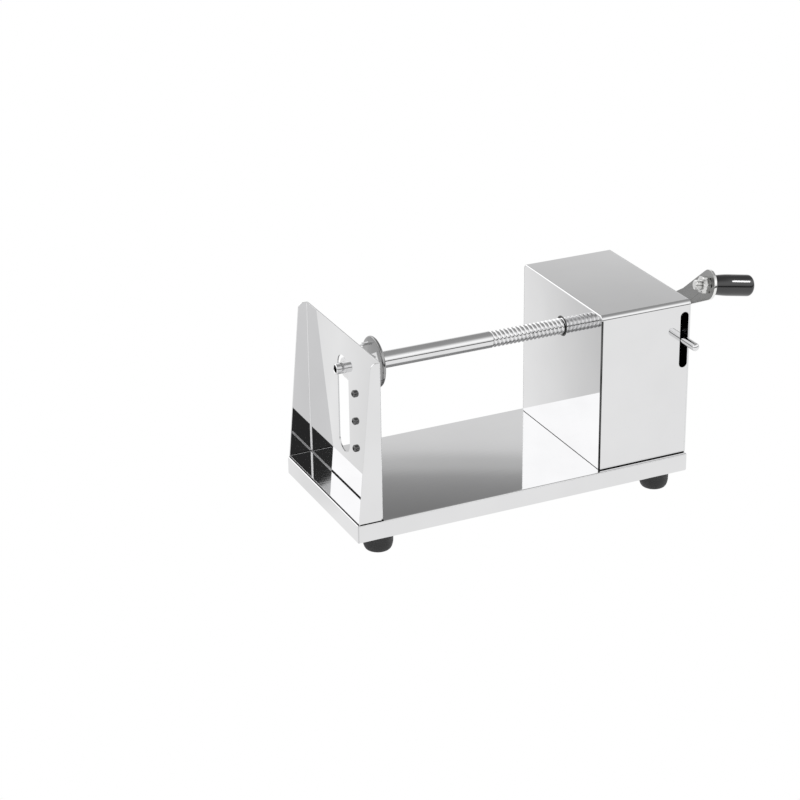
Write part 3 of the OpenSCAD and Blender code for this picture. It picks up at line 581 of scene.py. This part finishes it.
house = {"sheet": 1.2 * mm, "round": 4 * mm, "roundSteps": 10, "curl": 1.25 * mm, "curlSteps": 5,
         "panelGap": 0.1 * mm, "panelBend": 0.3 * mm, "panelBendSteps": 4, "slant": 0.7 * mm,
         "bushHole": 8.28 * mm, "holeSteps": 64, "slotWide": 7.6 * mm, "slotLow": 26.1 * mm,
         "slotHigh": 23 * mm, "rodHole": 8.5 * mm, "pivotHole": 4.05 * mm, "edge": 0.16 * mm}


def houseOutline(inset):
    lo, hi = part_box("housing_cover")
    w, top = hi.y - inset, hi.z - inset
    r = house["round"] - min(inset, house["round"] / 2)
    right = arcPoints((w - r, top - r), r, 0, 90, house["roundSteps"])
    left = arcPoints((-w + r, top - r), r, 90, 180, house["roundSteps"])
    return [(w, lo.z)] + right + left + [(-w, lo.z)]


def leverX():
    lo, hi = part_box("release_lever")
    return (lo.x + hi.x) / 2


def slanted(y):
    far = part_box("housing_cover")[1].y
    return house["slant"] * (y + far) / (2 * far)  # the far end of the front edge lies a little further back


def makeCover():
    lo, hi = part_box("housing_cover")
    outline = houseOutline(0)
    bm = bmesh.new()
    front = lo.x + house["curl"]
    strip(bm, [[Vector((x, y, z)) for x in (front + slanted(y), hi.x)] for y, z in outline[:-1]])
    curl = []
    for a in quarterTurn(house["curlSteps"]):
        inset = house["curl"] * (1 - math.cos(a))
        back = front - house["curl"] * math.sin(a)
        curl.append([Vector((back + slanted(y), y, z)) for y, z in houseOutline(inset)])
    strip(bm, [row[:-1] for row in curl])
    wallTop = outline[-2][1]
    slot = slotLoop(leverX(), -house["slotLow"], house["slotHigh"], house["slotWide"] / 2)
    fillLoops(bm, [[(front, lo.z), (hi.x, lo.z), (hi.x, wallTop), (front, wallTop)], slot],
              lambda x, z: Vector((x, lo.y, z)))
    faceOut(bm, (0, 0, 1))
    addPiece("housing_cover_sheet", bm, "mirrorSteel", "frame", ["housing_cover"], sheet=house["sheet"],
             bevel=house["edge"])
    # the near vertical curl as its own piece in dark steel: a painted dark reflection on that edge
    bm = bmesh.new()
    strip(bm, [row[-2:] for row in curl])
    faceOut(bm, (-1, -1, 0))
    addPiece("housing_cover_shaded_edge", bm, "edgeShadeSteel", "frame", sheet=house["sheet"])
    # near-black strip of painted shadow along the cover's near bottom edge
    makeShadowStrip("housing_side_shadow_strip", (lo.x, lo.y, lo.z), (hi.x, lo.y, lo.z), (0, -1, 0))


def makeFrontPanel():
    lo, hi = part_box("front_panel")
    inset = house["sheet"] + house["panelGap"]
    b = house["panelBend"]
    bm = bmesh.new()
    bushHole = circle(0, 0, house["bushHole"], house["holeSteps"])
    fillLoops(bm, [houseOutline(inset + b), bushHole], lambda y, z: Vector((lo.x, y, z)))
    rows = [[Vector((lo.x + b - b * math.cos(a), y, z)) for y, z in houseOutline(inset + b - b * math.sin(a))]
            for a in quarterTurn(house["panelBendSteps"])]
    rows.append([Vector((hi.x, point.y, point.z)) for point in rows[-1]])
    strip(bm, rows)
    faceOut(bm, (-1, 0, 0))
    addPiece("front_panel_sheet", bm, "mirrorSteel", "frame", ["front_panel"], sheet=house["sheet"],
             bevel=house["edge"])
    # near-black strip of painted shadow along the panel's bottom edge
    makeShadowStrip("front_panel_shadow_strip", (lo.x, lo.y, lo.z), (lo.x, hi.y, lo.z), (-1, 0, 0), shadowSeam["panelHigh"])


def makeRearPanel():
    lo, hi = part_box("rear_panel")
    pivotY, pivotZ = joints["release_lift"]["pos_m"][1:]
    loops = [houseOutline(0), circle(0, 0, house["rodHole"], house["holeSteps"]),
             circle(pivotY, pivotZ, house["pivotHole"])]
    bm = bmesh.new()
    slab(bm, loops, lambda y, z: Vector((lo.x, y, z)), (1, 0, 0), hi.x - lo.x)
    addPiece("rear_panel_sheet", bm, "mirrorSteel", "frame", ["rear_panel"], bevel=house["edge"])


makeCover()
makeFrontPanel()
makeRearPanel()

bush = {"bore": 7.4 * mm, "edge": 0.3 * mm, "rim": 8.7 * mm, "rimThick": 0.35 * mm, "neck": 8.2 * mm,
        "inner": 10 * mm, "innerThick": 1.1 * mm}


def makeFrontBush():
    lo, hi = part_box("front_bush")
    b = bush
    long = hi.x - lo.x
    profile = [(b["bore"], b["edge"]), (b["bore"] + b["edge"], 0), (b["rim"] - b["edge"], 0),
               (b["rim"], b["rimThick"]), (b["neck"], b["rimThick"]), (b["neck"], long - b["innerThick"]),
               (b["inner"], long - b["innerThick"]), (b["inner"], long), (b["bore"], long)]
    addTurned("front_bush_turned", profile, (lo.x, 0, 0), (1, 0, 0), "bushNylon", "turning_bush",
              ["front_bush"])


makeFrontBush()
print("stage: housing")

# Inside of the housing, seen through the slots: look and width of the rounded edges

inside = {"nut_bracket": ("plainSteel", 0.3 * mm), "bracket_screws": ("zinc", 0.2 * mm),
          "bracket_nuts": ("zinc", 0.15 * mm), "rear_bush": ("nylon", 0.3 * mm),
          "release_lever": ("leverSteel", 0.4 * mm), "pivot_spacer": ("plainSteel", 0.3 * mm),
          "half_nut": ("bronze", 0.3 * mm), "half_nut_screws": ("zinc", 0.2 * mm),
          "spring_post": ("plainSteel", 0.3 * mm), "pivot_nut": ("zinc", 0.3 * mm),
          "return_spring": ("springSteel", 0.0)}
for node, (look, edge) in inside.items():
    dressNode(node, look, edge)

pivot = {"radius": 4 * mm, "tip": 3.6 * mm, "tipEdge": 0.5 * mm}


def makePivot():
    lo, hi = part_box("lever_pivot")
    y, z = joints["release_lift"]["pos_m"][1:]
    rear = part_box("rear_panel")[1].x
    flats = hi.y - lo.y
    seat, top = rear - lo.x, hi.x - lo.x
    profile = [(0, 0), (pivot["tip"], 0), (pivot["radius"], pivot["tipEdge"]), (pivot["radius"], seat),
               (flats / 2, seat), (flats / 2, top - nutDrop(flats)), (flats / 2 - nut["faceEdge"], top),
               (0, top)]
    addTurned("lever_pivot_bolt", profile, (lo.x, y, z), (1, 0, 0), "zinc", "frame", ["lever_pivot"],
              steps=nut["steps"], closed=False, hexRows=(4, 5))


makePivot()

pin = {"dome": 0.75, "domeStep": 9, "neck": 2 * mm, "neckLong": 8 * mm, "edge": 0.3 * mm, "steps": 64}


def makeReleasePin():
    lo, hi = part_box("release_pin")
    radius = (hi.x - lo.x) / 2
    x, z = (lo.x + hi.x) / 2, (lo.z + hi.z) / 2
    long = hi.y - lo.y
    dome = [(radius * math.cos(math.radians(a)),
             long - radius * pin["dome"] * (1 - math.sin(math.radians(a))))
            for a in range(0, 90, pin["domeStep"])]
    profile = [(0, 0), (pin["neck"], 0), (pin["neck"], pin["neckLong"]),
               (radius - pin["edge"], pin["neckLong"]), (radius, pin["neckLong"] + pin["edge"])]
    profile += dome + [(0, long)]
    addTurned("release_pin_turned", profile, (x, hi.y, z), (0, -1, 0), "rodSteel", "lever", ["release_pin"],
              steps=pin["steps"], closed=False)


makeReleasePin()

# Feed rod: smooth tube, threaded bar, pusher with prongs

threadForm = (0, 0.3, 0.36, 0.56, 0.76, 0.94)  # ends of crest, shoulders and root along one pitch
threadSharp = 28
feedThread = {"depth": 0.9 * mm, "chamfer": 0.14 * mm, "pitch": 3.7 * mm, "steps": 72}
studThread = {"depth": 0.6 * mm, "chamfer": 0.12 * mm, "pitch": 1.25 * mm, "steps": 48}
boltThread = {"depth": 0.55 * mm, "chamfer": 0.12 * mm, "pitch": 1.25 * mm, "steps": 48}
rod = {"tubeBore": 5 * mm, "tubeEdge": 0.25 * mm, "spigot": 4.9 * mm, "spigotTip": 4.5 * mm,
       "spigotEdge": 0.5 * mm, "coreGap": 0.05 * mm, "collarBore": 5.05 * mm, "collarEdge": 0.5 * mm,
       "stud": 5 * mm, "studCore": 4.7 * mm, "studTip": 3.9 * mm, "studEdge": 0.8 * mm, "studBare": 0.6 * mm}


def addThread(name, cut, radius, long, at, along, look, nodes=()):
    bm = bmesh.new()
    matrix = axisMatrix(at, along)
    pitch, steps = cut["pitch"], cut["steps"]
    root, shoulder = radius - cut["depth"], radius - cut["chamfer"]
    shape = list(zip(threadForm, (radius, radius, shoulder, root, root, shoulder))) + [(1, radius)]
    total = int(math.ceil(long / pitch) + 1) * steps
    last = None
    for step in range(-steps, total):
        angle = 2 * math.pi * step / steps
        row = []
        for share, r in shape:
            z = min(max(pitch * (step / steps + share), 0), long)
            row.append((bm.verts.new(matrix @ Vector((r * math.cos(angle), r * math.sin(angle), z))), z))
        if last:
            for i in range(len(row) - 1):
                corners = (last[i], last[i + 1], row[i + 1], row[i])
                heights = [z for _, z in corners]
                if max(heights) > 0 and min(heights) < long:
                    bm.faces.new([vert for vert, _ in corners])
        last = row
    bmesh.ops.remove_doubles(bm, verts=bm.verts, dist=build["threadWeld"])
    loose = [vert for vert in bm.verts if not vert.link_faces]
    bmesh.ops.delete(bm, geom=loose, context="VERTS")
    bmesh.ops.dissolve_degenerate(bm, dist=build["threadWeld"], edges=bm.edges)
    addPiece(name, bm, look, "rod", nodes, sharp=threadSharp)


def makeTube():
    lo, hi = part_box("push_tube")
    profile = latheDisc((hi.y - lo.y) / 2, rod["tubeBore"], hi.x - lo.x, rod["tubeEdge"])
    addTurned("push_tube_polished", profile, (lo.x, 0, 0), (1, 0, 0), "rodSteel", "rod", ["push_tube"])


def makeLeadScrew():
    lo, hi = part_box("lead_screw")
    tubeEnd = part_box("push_tube")[1].x
    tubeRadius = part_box("push_tube")[1].y
    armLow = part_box("hub_washer")[0].x
    ringLow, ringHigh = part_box("arm_collar")
    addThread("lead_screw_thread", feedThread, tubeRadius, ringLow.x - tubeEnd, (tubeEnd, 0, 0), (1, 0, 0),
              "threadSteel", ["lead_screw"])
    core = tubeRadius - feedThread["depth"] - rod["coreGap"]
    threadFrom, threadTo, end = tubeEnd - lo.x, ringLow.x - lo.x, hi.x - lo.x
    profile = [(0, 0), (rod["spigotTip"], 0), (rod["spigot"], rod["spigotEdge"]), (rod["spigot"], threadFrom),
               (core, threadFrom), (core, threadTo), (rod["studCore"], threadTo),
               (rod["studCore"], armLow - lo.x), (rod["studCore"], end - rod["studEdge"]),
               (rod["studTip"], end), (0, end)]
    addTurned("lead_screw_core", profile, (lo.x, 0, 0), (1, 0, 0), "rodSteel", "rod", closed=False)
    collar = latheDisc(ringHigh.y, rod["collarBore"], ringHigh.x - ringLow.x, rod["collarEdge"])
    addTurned("arm_collar_turned", collar, (ringLow.x, 0, 0), (1, 0, 0), "rodSteel", "rod", ["arm_collar"])
    addThread("lead_screw_stud", studThread, rod["stud"], hi.x - armLow - rod["studBare"], (armLow, 0, 0),
              (1, 0, 0), "zinc")


disc = {"thick": 3 * mm, "rimSteps": 12, "bore": 3.1 * mm, "edge": 0.4 * mm, "spigot": 4.95 * mm,
        "steps": 128, "prongEdge": 0.12 * mm}


def makePusher():
    lo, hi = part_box("pusher_disc")
    thick, bore, long = disc["thick"], disc["bore"], hi.x - lo.x
    half = thick / 2
    rim = arcPoints((hi.y - half, half), half, -90, 90, disc["rimSteps"])
    profile = [(bore, disc["edge"]), (bore + disc["edge"], 0)] + rim
    profile += [(disc["spigot"], thick), (disc["spigot"], long), (bore, long)]
    addTurned("pusher_disc_turned", profile, (lo.x, 0, 0), (1, 0, 0), "discSteel", "rod", ["pusher_disc"],
              steps=disc["steps"])
    dressNode("pusher_prongs", "rodSteel", disc["prongEdge"])


makeTube()
makeLeadScrew()
makePusher()
print("stage: feed rod")

# Crank: flat bar with a twist, nuts and washers, bolt through the grip

crank = {"hub": 11 * mm, "neck": 7.6 * mm, "end": 12.6 * mm, "thick": 2.4 * mm, "twistFrom": 16 * mm,
         "twistTo": 34 * mm, "studHole": 5.05 * mm, "boltHole": 4.05 * mm, "edge": 0.35 * mm, "arcSteps": 40,
         "cuts": 9, "rimHighlightBelow": 0.5}
gripAt = Vector(joints["grip_spin"]["pos_m"])
gripAlong = Vector(joints["grip_spin"]["axis"]).normalized()
radial = Vector((0, gripAt.y, gripAt.z)).normalized()
crankRadius = math.hypot(gripAt.y, gripAt.z)
tilt = math.acos(gripAlong.x)


def makeArm():
    c = crank
    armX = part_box("hub_washer")[0].x - c["thick"]
    lean = math.degrees(math.asin((c["end"] - c["neck"]) / (crankRadius - c["twistTo"])))
    hubTurn = math.degrees(math.acos(c["neck"] / c["hub"]))
    outline = arcPoints((crankRadius, 0), c["end"], -90 - lean, 90 + lean, c["arcSteps"])
    outline += [(c["twistTo"], c["neck"])]
    outline += arcPoints((0, 0), c["hub"], 90 - hubTurn, 270 + hubTurn, c["arcSteps"])
    outline += [(c["twistTo"], -c["neck"])]
    holes = [circle(crankRadius, 0, c["boltHole"]), circle(0, 0, c["studHole"])]
    bm = bmesh.new()
    slab(bm, [outline] + holes, lambda u, v: Vector((-c["thick"] / 2, v, u)), (1, 0, 0), c["thick"])
    bm.normal_update()
    # faces along the rim take the second, lighter material: a painted highlight on the bar's edge
    for face in bm.faces:
        face.material_index = int(abs(face.normal.x) < c["rimHighlightBelow"])
    for cut in range(c["cuts"] + 1):
        at = c["twistFrom"] + (c["twistTo"] - c["twistFrom"]) * cut / c["cuts"]
        bmesh.ops.bisect_plane(bm, geom=bm.verts[:] + bm.edges[:] + bm.faces[:], plane_co=(0, 0, at),
                               plane_no=(0, 0, 1))
    side = Vector((1, 0, 0)).cross(radial)
    for vert in bm.verts:
        share = min(max((vert.co.z - c["twistFrom"]) / (c["twistTo"] - c["twistFrom"]), 0), 1)
        turn = -tilt * share * share * (3 - 2 * share)
        x = vert.co.x * math.cos(turn) - vert.co.y * math.sin(turn)
        y = vert.co.x * math.sin(turn) + vert.co.y * math.cos(turn)
        vert.co = Vector((armX + c["thick"] / 2 + x, 0, 0)) + radial * vert.co.z - side * y
    arm = addPiece("crank_arm_bar", bm, "armSteel", "rod", ["crank_arm"], bevel=c["edge"])
    arm.data.materials.append(materials["armRimHighlight"])


makeArm()

hub = {"bore": 5.05 * mm, "washerEdge": 0.25 * mm}


def makeHub():
    lo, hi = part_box("hub_washer")
    profile = latheDisc((hi.y - lo.y) / 2, hub["bore"], hi.x - lo.x, hub["washerEdge"])
    addTurned("hub_washer_turned", profile, (lo.x, 0, 0), (1, 0, 0), "zinc", "rod", ["hub_washer"])
    lo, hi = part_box("hub_nut")
    bm = bmesh.new()
    addNut(bm, hi.y - lo.y, hub["bore"], hi.x - lo.x, (lo.x, 0, 0), (1, 0, 0), turn=math.pi / 2)
    addPiece("hub_nut_chamfered", bm, "zinc", "rod", ["hub_nut"])


makeHub()

bolt = {"radius": 4 * mm, "past": 5.7 * mm, "core": 3.5 * mm, "tipEdge": 0.7 * mm, "threadIn": 0.2 * mm,
        "head": 5.5 * mm, "headHigh": 6 * mm, "headEdge": 0.5 * mm, "socket": 3 * mm, "socketFloor": 3 * mm,
        "nutFlats": 13 * mm, "nutHigh": 6.5 * mm, "nutTurn": 0.35, "bore": 4.05 * mm, "washer": 8 * mm,
        "washerThick": 1.2 * mm, "washerEdge": 0.25 * mm}
grip = {"long": 36.7 * mm, "gap": 0.3 * mm, "radius": 7.9 * mm, "endRadius": 8.95 * mm, "round": 4 * mm,
        "well": 5.8 * mm, "wellDeep": 9 * mm, "bore": 4.08 * mm, "collar": 0.8 * mm, "edge": 0.25 * mm,
        "rise": 2.2, "barrelSteps": 12, "roundSteps": 12, "steps": 128, "sharp": 50}


def makeGripBolt():
    b = bolt
    half = crank["thick"] / 2
    start = -half - b["nutHigh"] - b["past"]
    gripStart = half + b["washerThick"] + grip["gap"]
    seat = gripStart + grip["long"] - grip["wellDeep"] + grip["gap"]
    threadLong = -half - start + b["threadIn"]
    addThread("grip_bolt_thread", boltThread, b["radius"], threadLong - b["tipEdge"],
              gripAt + gripAlong * (start + b["tipEdge"]), gripAlong, "zinc", ["grip_bolt"])
    top, floor = seat + b["headHigh"], seat + b["socketFloor"]
    profile = [(0, start), (b["core"] - b["tipEdge"], start), (b["core"], start + b["tipEdge"]),
               (b["core"], -half), (b["radius"], -half), (b["radius"], seat), (b["head"], seat),
               (b["head"], top - b["headEdge"]), (b["head"] - b["headEdge"], top), (b["socket"], top),
               (b["socket"], floor), (0, floor)]
    addTurned("grip_bolt_core", profile, gripAt, gripAlong, "zinc", "rod", steps=nut["steps"], closed=False,
              hexRows=(9, 10))
    bm = bmesh.new()
    addNut(bm, b["nutFlats"], b["bore"], b["nutHigh"], gripAt + gripAlong * (-half - b["nutHigh"]), gripAlong,
           turn=b["nutTurn"])
    addPiece("grip_nut_chamfered", bm, "zinc", "rod", ["grip_nut"])
    profile = latheDisc(b["washer"], b["bore"], b["washerThick"], b["washerEdge"])
    # the washer takes the steel painted dark: painted shade in the ring around the grip nut
    addTurned("grip_washer_turned", profile, gripAt + gripAlong * half, gripAlong, "paintedShadeSteel", "rod",
              ["grip_washer"])
    return gripStart


def makeGrip(start):
    g = grip
    long, steps = g["long"], g["barrelSteps"]
    mid = g["endRadius"] - g["round"]
    barrel = []
    for i in range(steps + 1):
        share = i / steps
        swell = math.sin(math.pi / 2 * min(1, share * g["rise"]))
        barrel.append((g["radius"] + (g["endRadius"] - g["radius"]) * swell,
                       g["collar"] + (long - g["round"] - g["collar"]) * share))
    last = math.degrees(math.acos((g["well"] - mid) / g["round"]))
    profile = [(g["bore"], 0), (g["radius"] - g["collar"], 0), (g["radius"] - g["edge"], g["edge"])] + barrel
    profile += arcPoints((mid, long - g["round"]), g["round"], 0, last, g["roundSteps"])[1:]
    profile += [(g["well"], long - g["wellDeep"]), (g["bore"], long - g["wellDeep"])]
    return addTurned("grip_moulded", profile, gripAt + gripAlong * start, gripAlong, "gloss", "grip",
                     ["grip"], g["sharp"], steps=g["steps"])


gripPiece = makeGrip(makeGripBolt())
print("stage: crank")

# Camera at the photograph's angle

view = {"target": (115.09 * mm, -3.02 * mm, -70.76 * mm), "distance": 1.9114, "azimuth": -26.591,
        "elevation": 24.437, "lens": 103.77, "sensor": 36, "shift": (-0.0936, 0.0286)}


def backVector(azimuth, elevation):
    a, e = math.radians(azimuth), math.radians(elevation)
    return Vector((math.sin(a) * math.cos(e), -math.cos(a) * math.cos(e), math.sin(e)))


def cameraPlace():
    return Vector(view["target"]) + backVector(view["azimuth"], view["elevation"]) * view["distance"]


def makeCamera():
    data = bpy.data.cameras.new("camera")
    data.sensor_width = view["sensor"]
    data.lens = view["lens"]
    data.shift_x, data.shift_y = view["shift"]
    camera = bpy.data.objects.new("camera", data)
    back = backVector(view["azimuth"], view["elevation"])
    camera.location = cameraPlace()
    camera.rotation_mode = "QUATERNION"
    camera.rotation_quaternion = (-back).to_track_quat("-Z", "Y")
    bpy.context.scene.collection.objects.link(camera)
    bpy.context.scene.camera = camera


makeCamera()
bpy.context.scene.view_settings.view_transform = "Standard"

# Stage: white floor, white surroundings, soft studio light
# A ramp holds (place, strength) of what the mirrors see: metres on the floor, the ray's height in the room

light = {"sky": 0.8, "floorSize": 6, "floorColour": (0.85, 0.85, 0.85, 1), "floorRough": 0.9,
         "floorBlend": (0.0, 0.08), "rearBlend": (-0.05, 0.3), "nearBlend": (-0.1, 0.1),
         "floorNear": ((-2.4, 0.06), (-1.7, 0.1), (-1.3, 0.8), (-0.9, 0.97), (-0.4, 1.0)),
         "floorFar": ((-0.06, 0.9), (-0.03, 0.84), (0.0, 0.92), (0.025, 1.0), (0.1, 0.8), (0.125, 0.7),
                      (0.145, 0.765), (0.165, 0.85), (0.184, 0.94), (0.205, 1.0), (0.3, 1.0)),
         "rear": ((0.0, 0.84), (0.2, 0.7), (0.345, 0.74), (0.369, 0.59), (0.385, 0.68), (0.411, 0.83),
                  (0.42, 0.79), (0.424, 0.74), (0.427, 0.6), (0.431, 0.54), (0.434, 0.39), (0.439, 0.31),
                  (0.444, 0.265), (0.449, 0.235), (0.52, 0.27), (0.64, 0.38), (0.8, 0.33), (0.92, 0.36)),
         "left": ((0.0, 0.9), (0.25, 1.2), (0.38, 1.62), (0.5, 1.62), (0.7, 1.0), (0.92, 0.5)),
         "near": ((0.0, 0.06), (0.06, 0.1), (0.13, 0.8), (0.22, 1.0), (0.36, 1.2), (0.58, 1.22), (0.7, 0.95),
                  (0.76, 0.8), (0.87, 0.42), (0.92, 0.36)),
         "cameraFrom": (-7.8 * mm, 71.3 * mm, -94.5 * mm),  # the pocket that mirrors the dark camera
         "camera": ((0.9985, 1.0), (0.9993, 0.85), (0.99974, 0.8), (0.99979, 0.04), (1.0, 0.035)),
         "strip": {"power": 0.22, "size": (0.037, 0.1), "distance": 0.4, "along": 27.5 * mm, "up": 21}}


def ramp(tree, stops, source):
    low, high = stops[0][0], stops[-1][0]
    top = max(value for _, value in stops)
    spread = addNode(tree, "ShaderNodeMapRange", {"From Min": low, "From Max": high, "Value": source})
    curve = addNode(tree, "ShaderNodeFloatCurve", {"Value": spread.outputs["Result"]})
    points = curve.mapping.curves[0].points
    while len(points) < len(stops):
        points.new(0.5, 0.5)
    for point, (position, value) in zip(points, stops):
        point.location = ((position - low) / (high - low), value / top)
        point.handle_type = "VECTOR"
    curve.mapping.update()
    return mathNode(tree, "MULTIPLY", curve.outputs["Value"], top)


def smooth(tree, low, high, source):
    node = addNode(tree, "ShaderNodeMapRange", {"From Min": low, "From Max": high, "Value": source})
    node.interpolation_type = "SMOOTHSTEP"
    return node.outputs["Result"]


def blend(tree, share, a, b):
    return addNode(tree, "ShaderNodeMix", {"Factor": share, "A": a, "B": b}).outputs["Result"]


def mathNode(tree, operation, a, b):
    return addNode(tree, "ShaderNodeMath", {0: a, 1: b}, operation).outputs["Value"]


def makeFloor():
    bm = bmesh.new()
    bmesh.ops.create_grid(bm, x_segments=1, y_segments=1, size=light["floorSize"])
    mesh = bpy.data.meshes.new("floor")
    bm.to_mesh(mesh)
    bm.free()
    floor = bpy.data.objects.new("floor", mesh)
    floor.location = (0, 0, cadBox[0].z)
    bpy.context.scene.collection.objects.link(floor)
    material = bpy.data.materials.new("floorWhite")
    material.use_nodes = True
    tree = material.node_tree
    shader = tree.nodes["Principled BSDF"]
    shader.inputs["Base Color"].default_value = light["floorColour"]
    shader.inputs["Roughness"].default_value = light["floorRough"]
    shader.inputs["Specular IOR Level"].default_value = 0
    place = addNode(tree, "ShaderNodeTexCoord", {}).outputs["Object"]
    across = addNode(tree, "ShaderNodeSeparateXYZ", {"Vector": place}).outputs["Y"]
    turned = math.radians(-view["azimuth"])
    aside = (math.cos(turned), math.sin(turned), 0)
    sideways = addNode(tree, "ShaderNodeVectorMath", {0: place, 1: aside}, "DOT_PRODUCT").outputs["Value"]
    far = ramp(tree, light["floorFar"], sideways)
    near = ramp(tree, light["floorNear"], across)
    shade = blend(tree, smooth(tree, *light["floorBlend"], across), near, far)
    path = addNode(tree, "ShaderNodeLightPath", {}).outputs
    glow = addNode(tree, "ShaderNodeEmission", {"Strength": blend(tree, path["Is Camera Ray"], shade, 1)})
    seen = mathNode(tree, "MAXIMUM", path["Is Camera Ray"], path["Is Glossy Ray"])
    seen = mathNode(tree, "MAXIMUM", seen, path["Is Transmission Ray"])
    mix = addNode(tree, "ShaderNodeMixShader", {"Fac": seen, 1: shader.outputs["BSDF"],
                                                2: glow.outputs["Emission"]})
    tree.links.new(mix.outputs["Shader"], tree.nodes["Material Output"].inputs["Surface"])
    mesh.materials.append(material)


def makeWorld():
    world = bpy.data.worlds.new("studio")
    bpy.context.scene.world = world
    world.use_nodes = True
    tree = world.node_tree
    background = tree.nodes["Background"]
    place = addNode(tree, "ShaderNodeTexCoord", {}).outputs["Generated"]
    split = addNode(tree, "ShaderNodeSeparateXYZ", {"Vector": place}).outputs
    rear, left, near = [ramp(tree, light[side], split["Z"]) for side in ("rear", "left", "near")]
    rear = blend(tree, smooth(tree, *light["rearBlend"], split["X"]), left, rear)
    room = blend(tree, smooth(tree, *light["nearBlend"], split["Y"]), near, rear)
    toCamera = (cameraPlace() - Vector(light["cameraFrom"])).normalized()
    facing = addNode(tree, "ShaderNodeVectorMath", {0: place, 1: toCamera}, "DOT_PRODUCT").outputs["Value"]
    room = mathNode(tree, "MULTIPLY", room, ramp(tree, light["camera"], facing))
    path = addNode(tree, "ShaderNodeLightPath", {}).outputs
    plain = blend(tree, path["Is Camera Ray"], light["sky"], 1)
    tree.links.new(blend(tree, path["Is Glossy Ray"], plain, room), background.inputs["Strength"])
    background.inputs["Color"].default_value = (1, 1, 1, 1)


def makeStrip():
    s = light["strip"]
    data = bpy.data.lights.new("strip", "AREA")
    data.shape = "RECTANGLE"
    data.size, data.size_y = s["size"]
    data.energy = s["power"]
    lamp = bpy.data.objects.new("strip", data)
    spot = gripAt + gripAlong * s["along"]
    back = (cameraPlace() - spot).normalized()
    face = (back - gripAlong * back.dot(gripAlong)).normalized()
    above = gripAlong.cross(face)
    above = above if above.z > 0 else -above
    lean = math.radians(s["up"])
    normal = face * math.cos(lean) + above * math.sin(lean)
    out = (normal * 2 * normal.dot(back) - back).normalized()
    lamp.location = spot + normal * grip["endRadius"] + out * s["distance"]
    lamp.rotation_mode = "QUATERNION"
    wide = (gripAlong - out * gripAlong.dot(out)).normalized()
    tall = out.cross(wide)
    lamp.rotation_quaternion = Matrix((wide, tall, out)).transposed().to_quaternion()
    lamp.visible_diffuse = False
    bpy.context.scene.collection.objects.link(lamp)
    onlyGrip = bpy.data.collections.new("onlyGrip")
    onlyGrip.objects.link(gripPiece)
    lamp.light_linking.receiver_collection = onlyGrip


makeFloor()
makeWorld()
makeStrip()
print("stage: floor, light and camera")
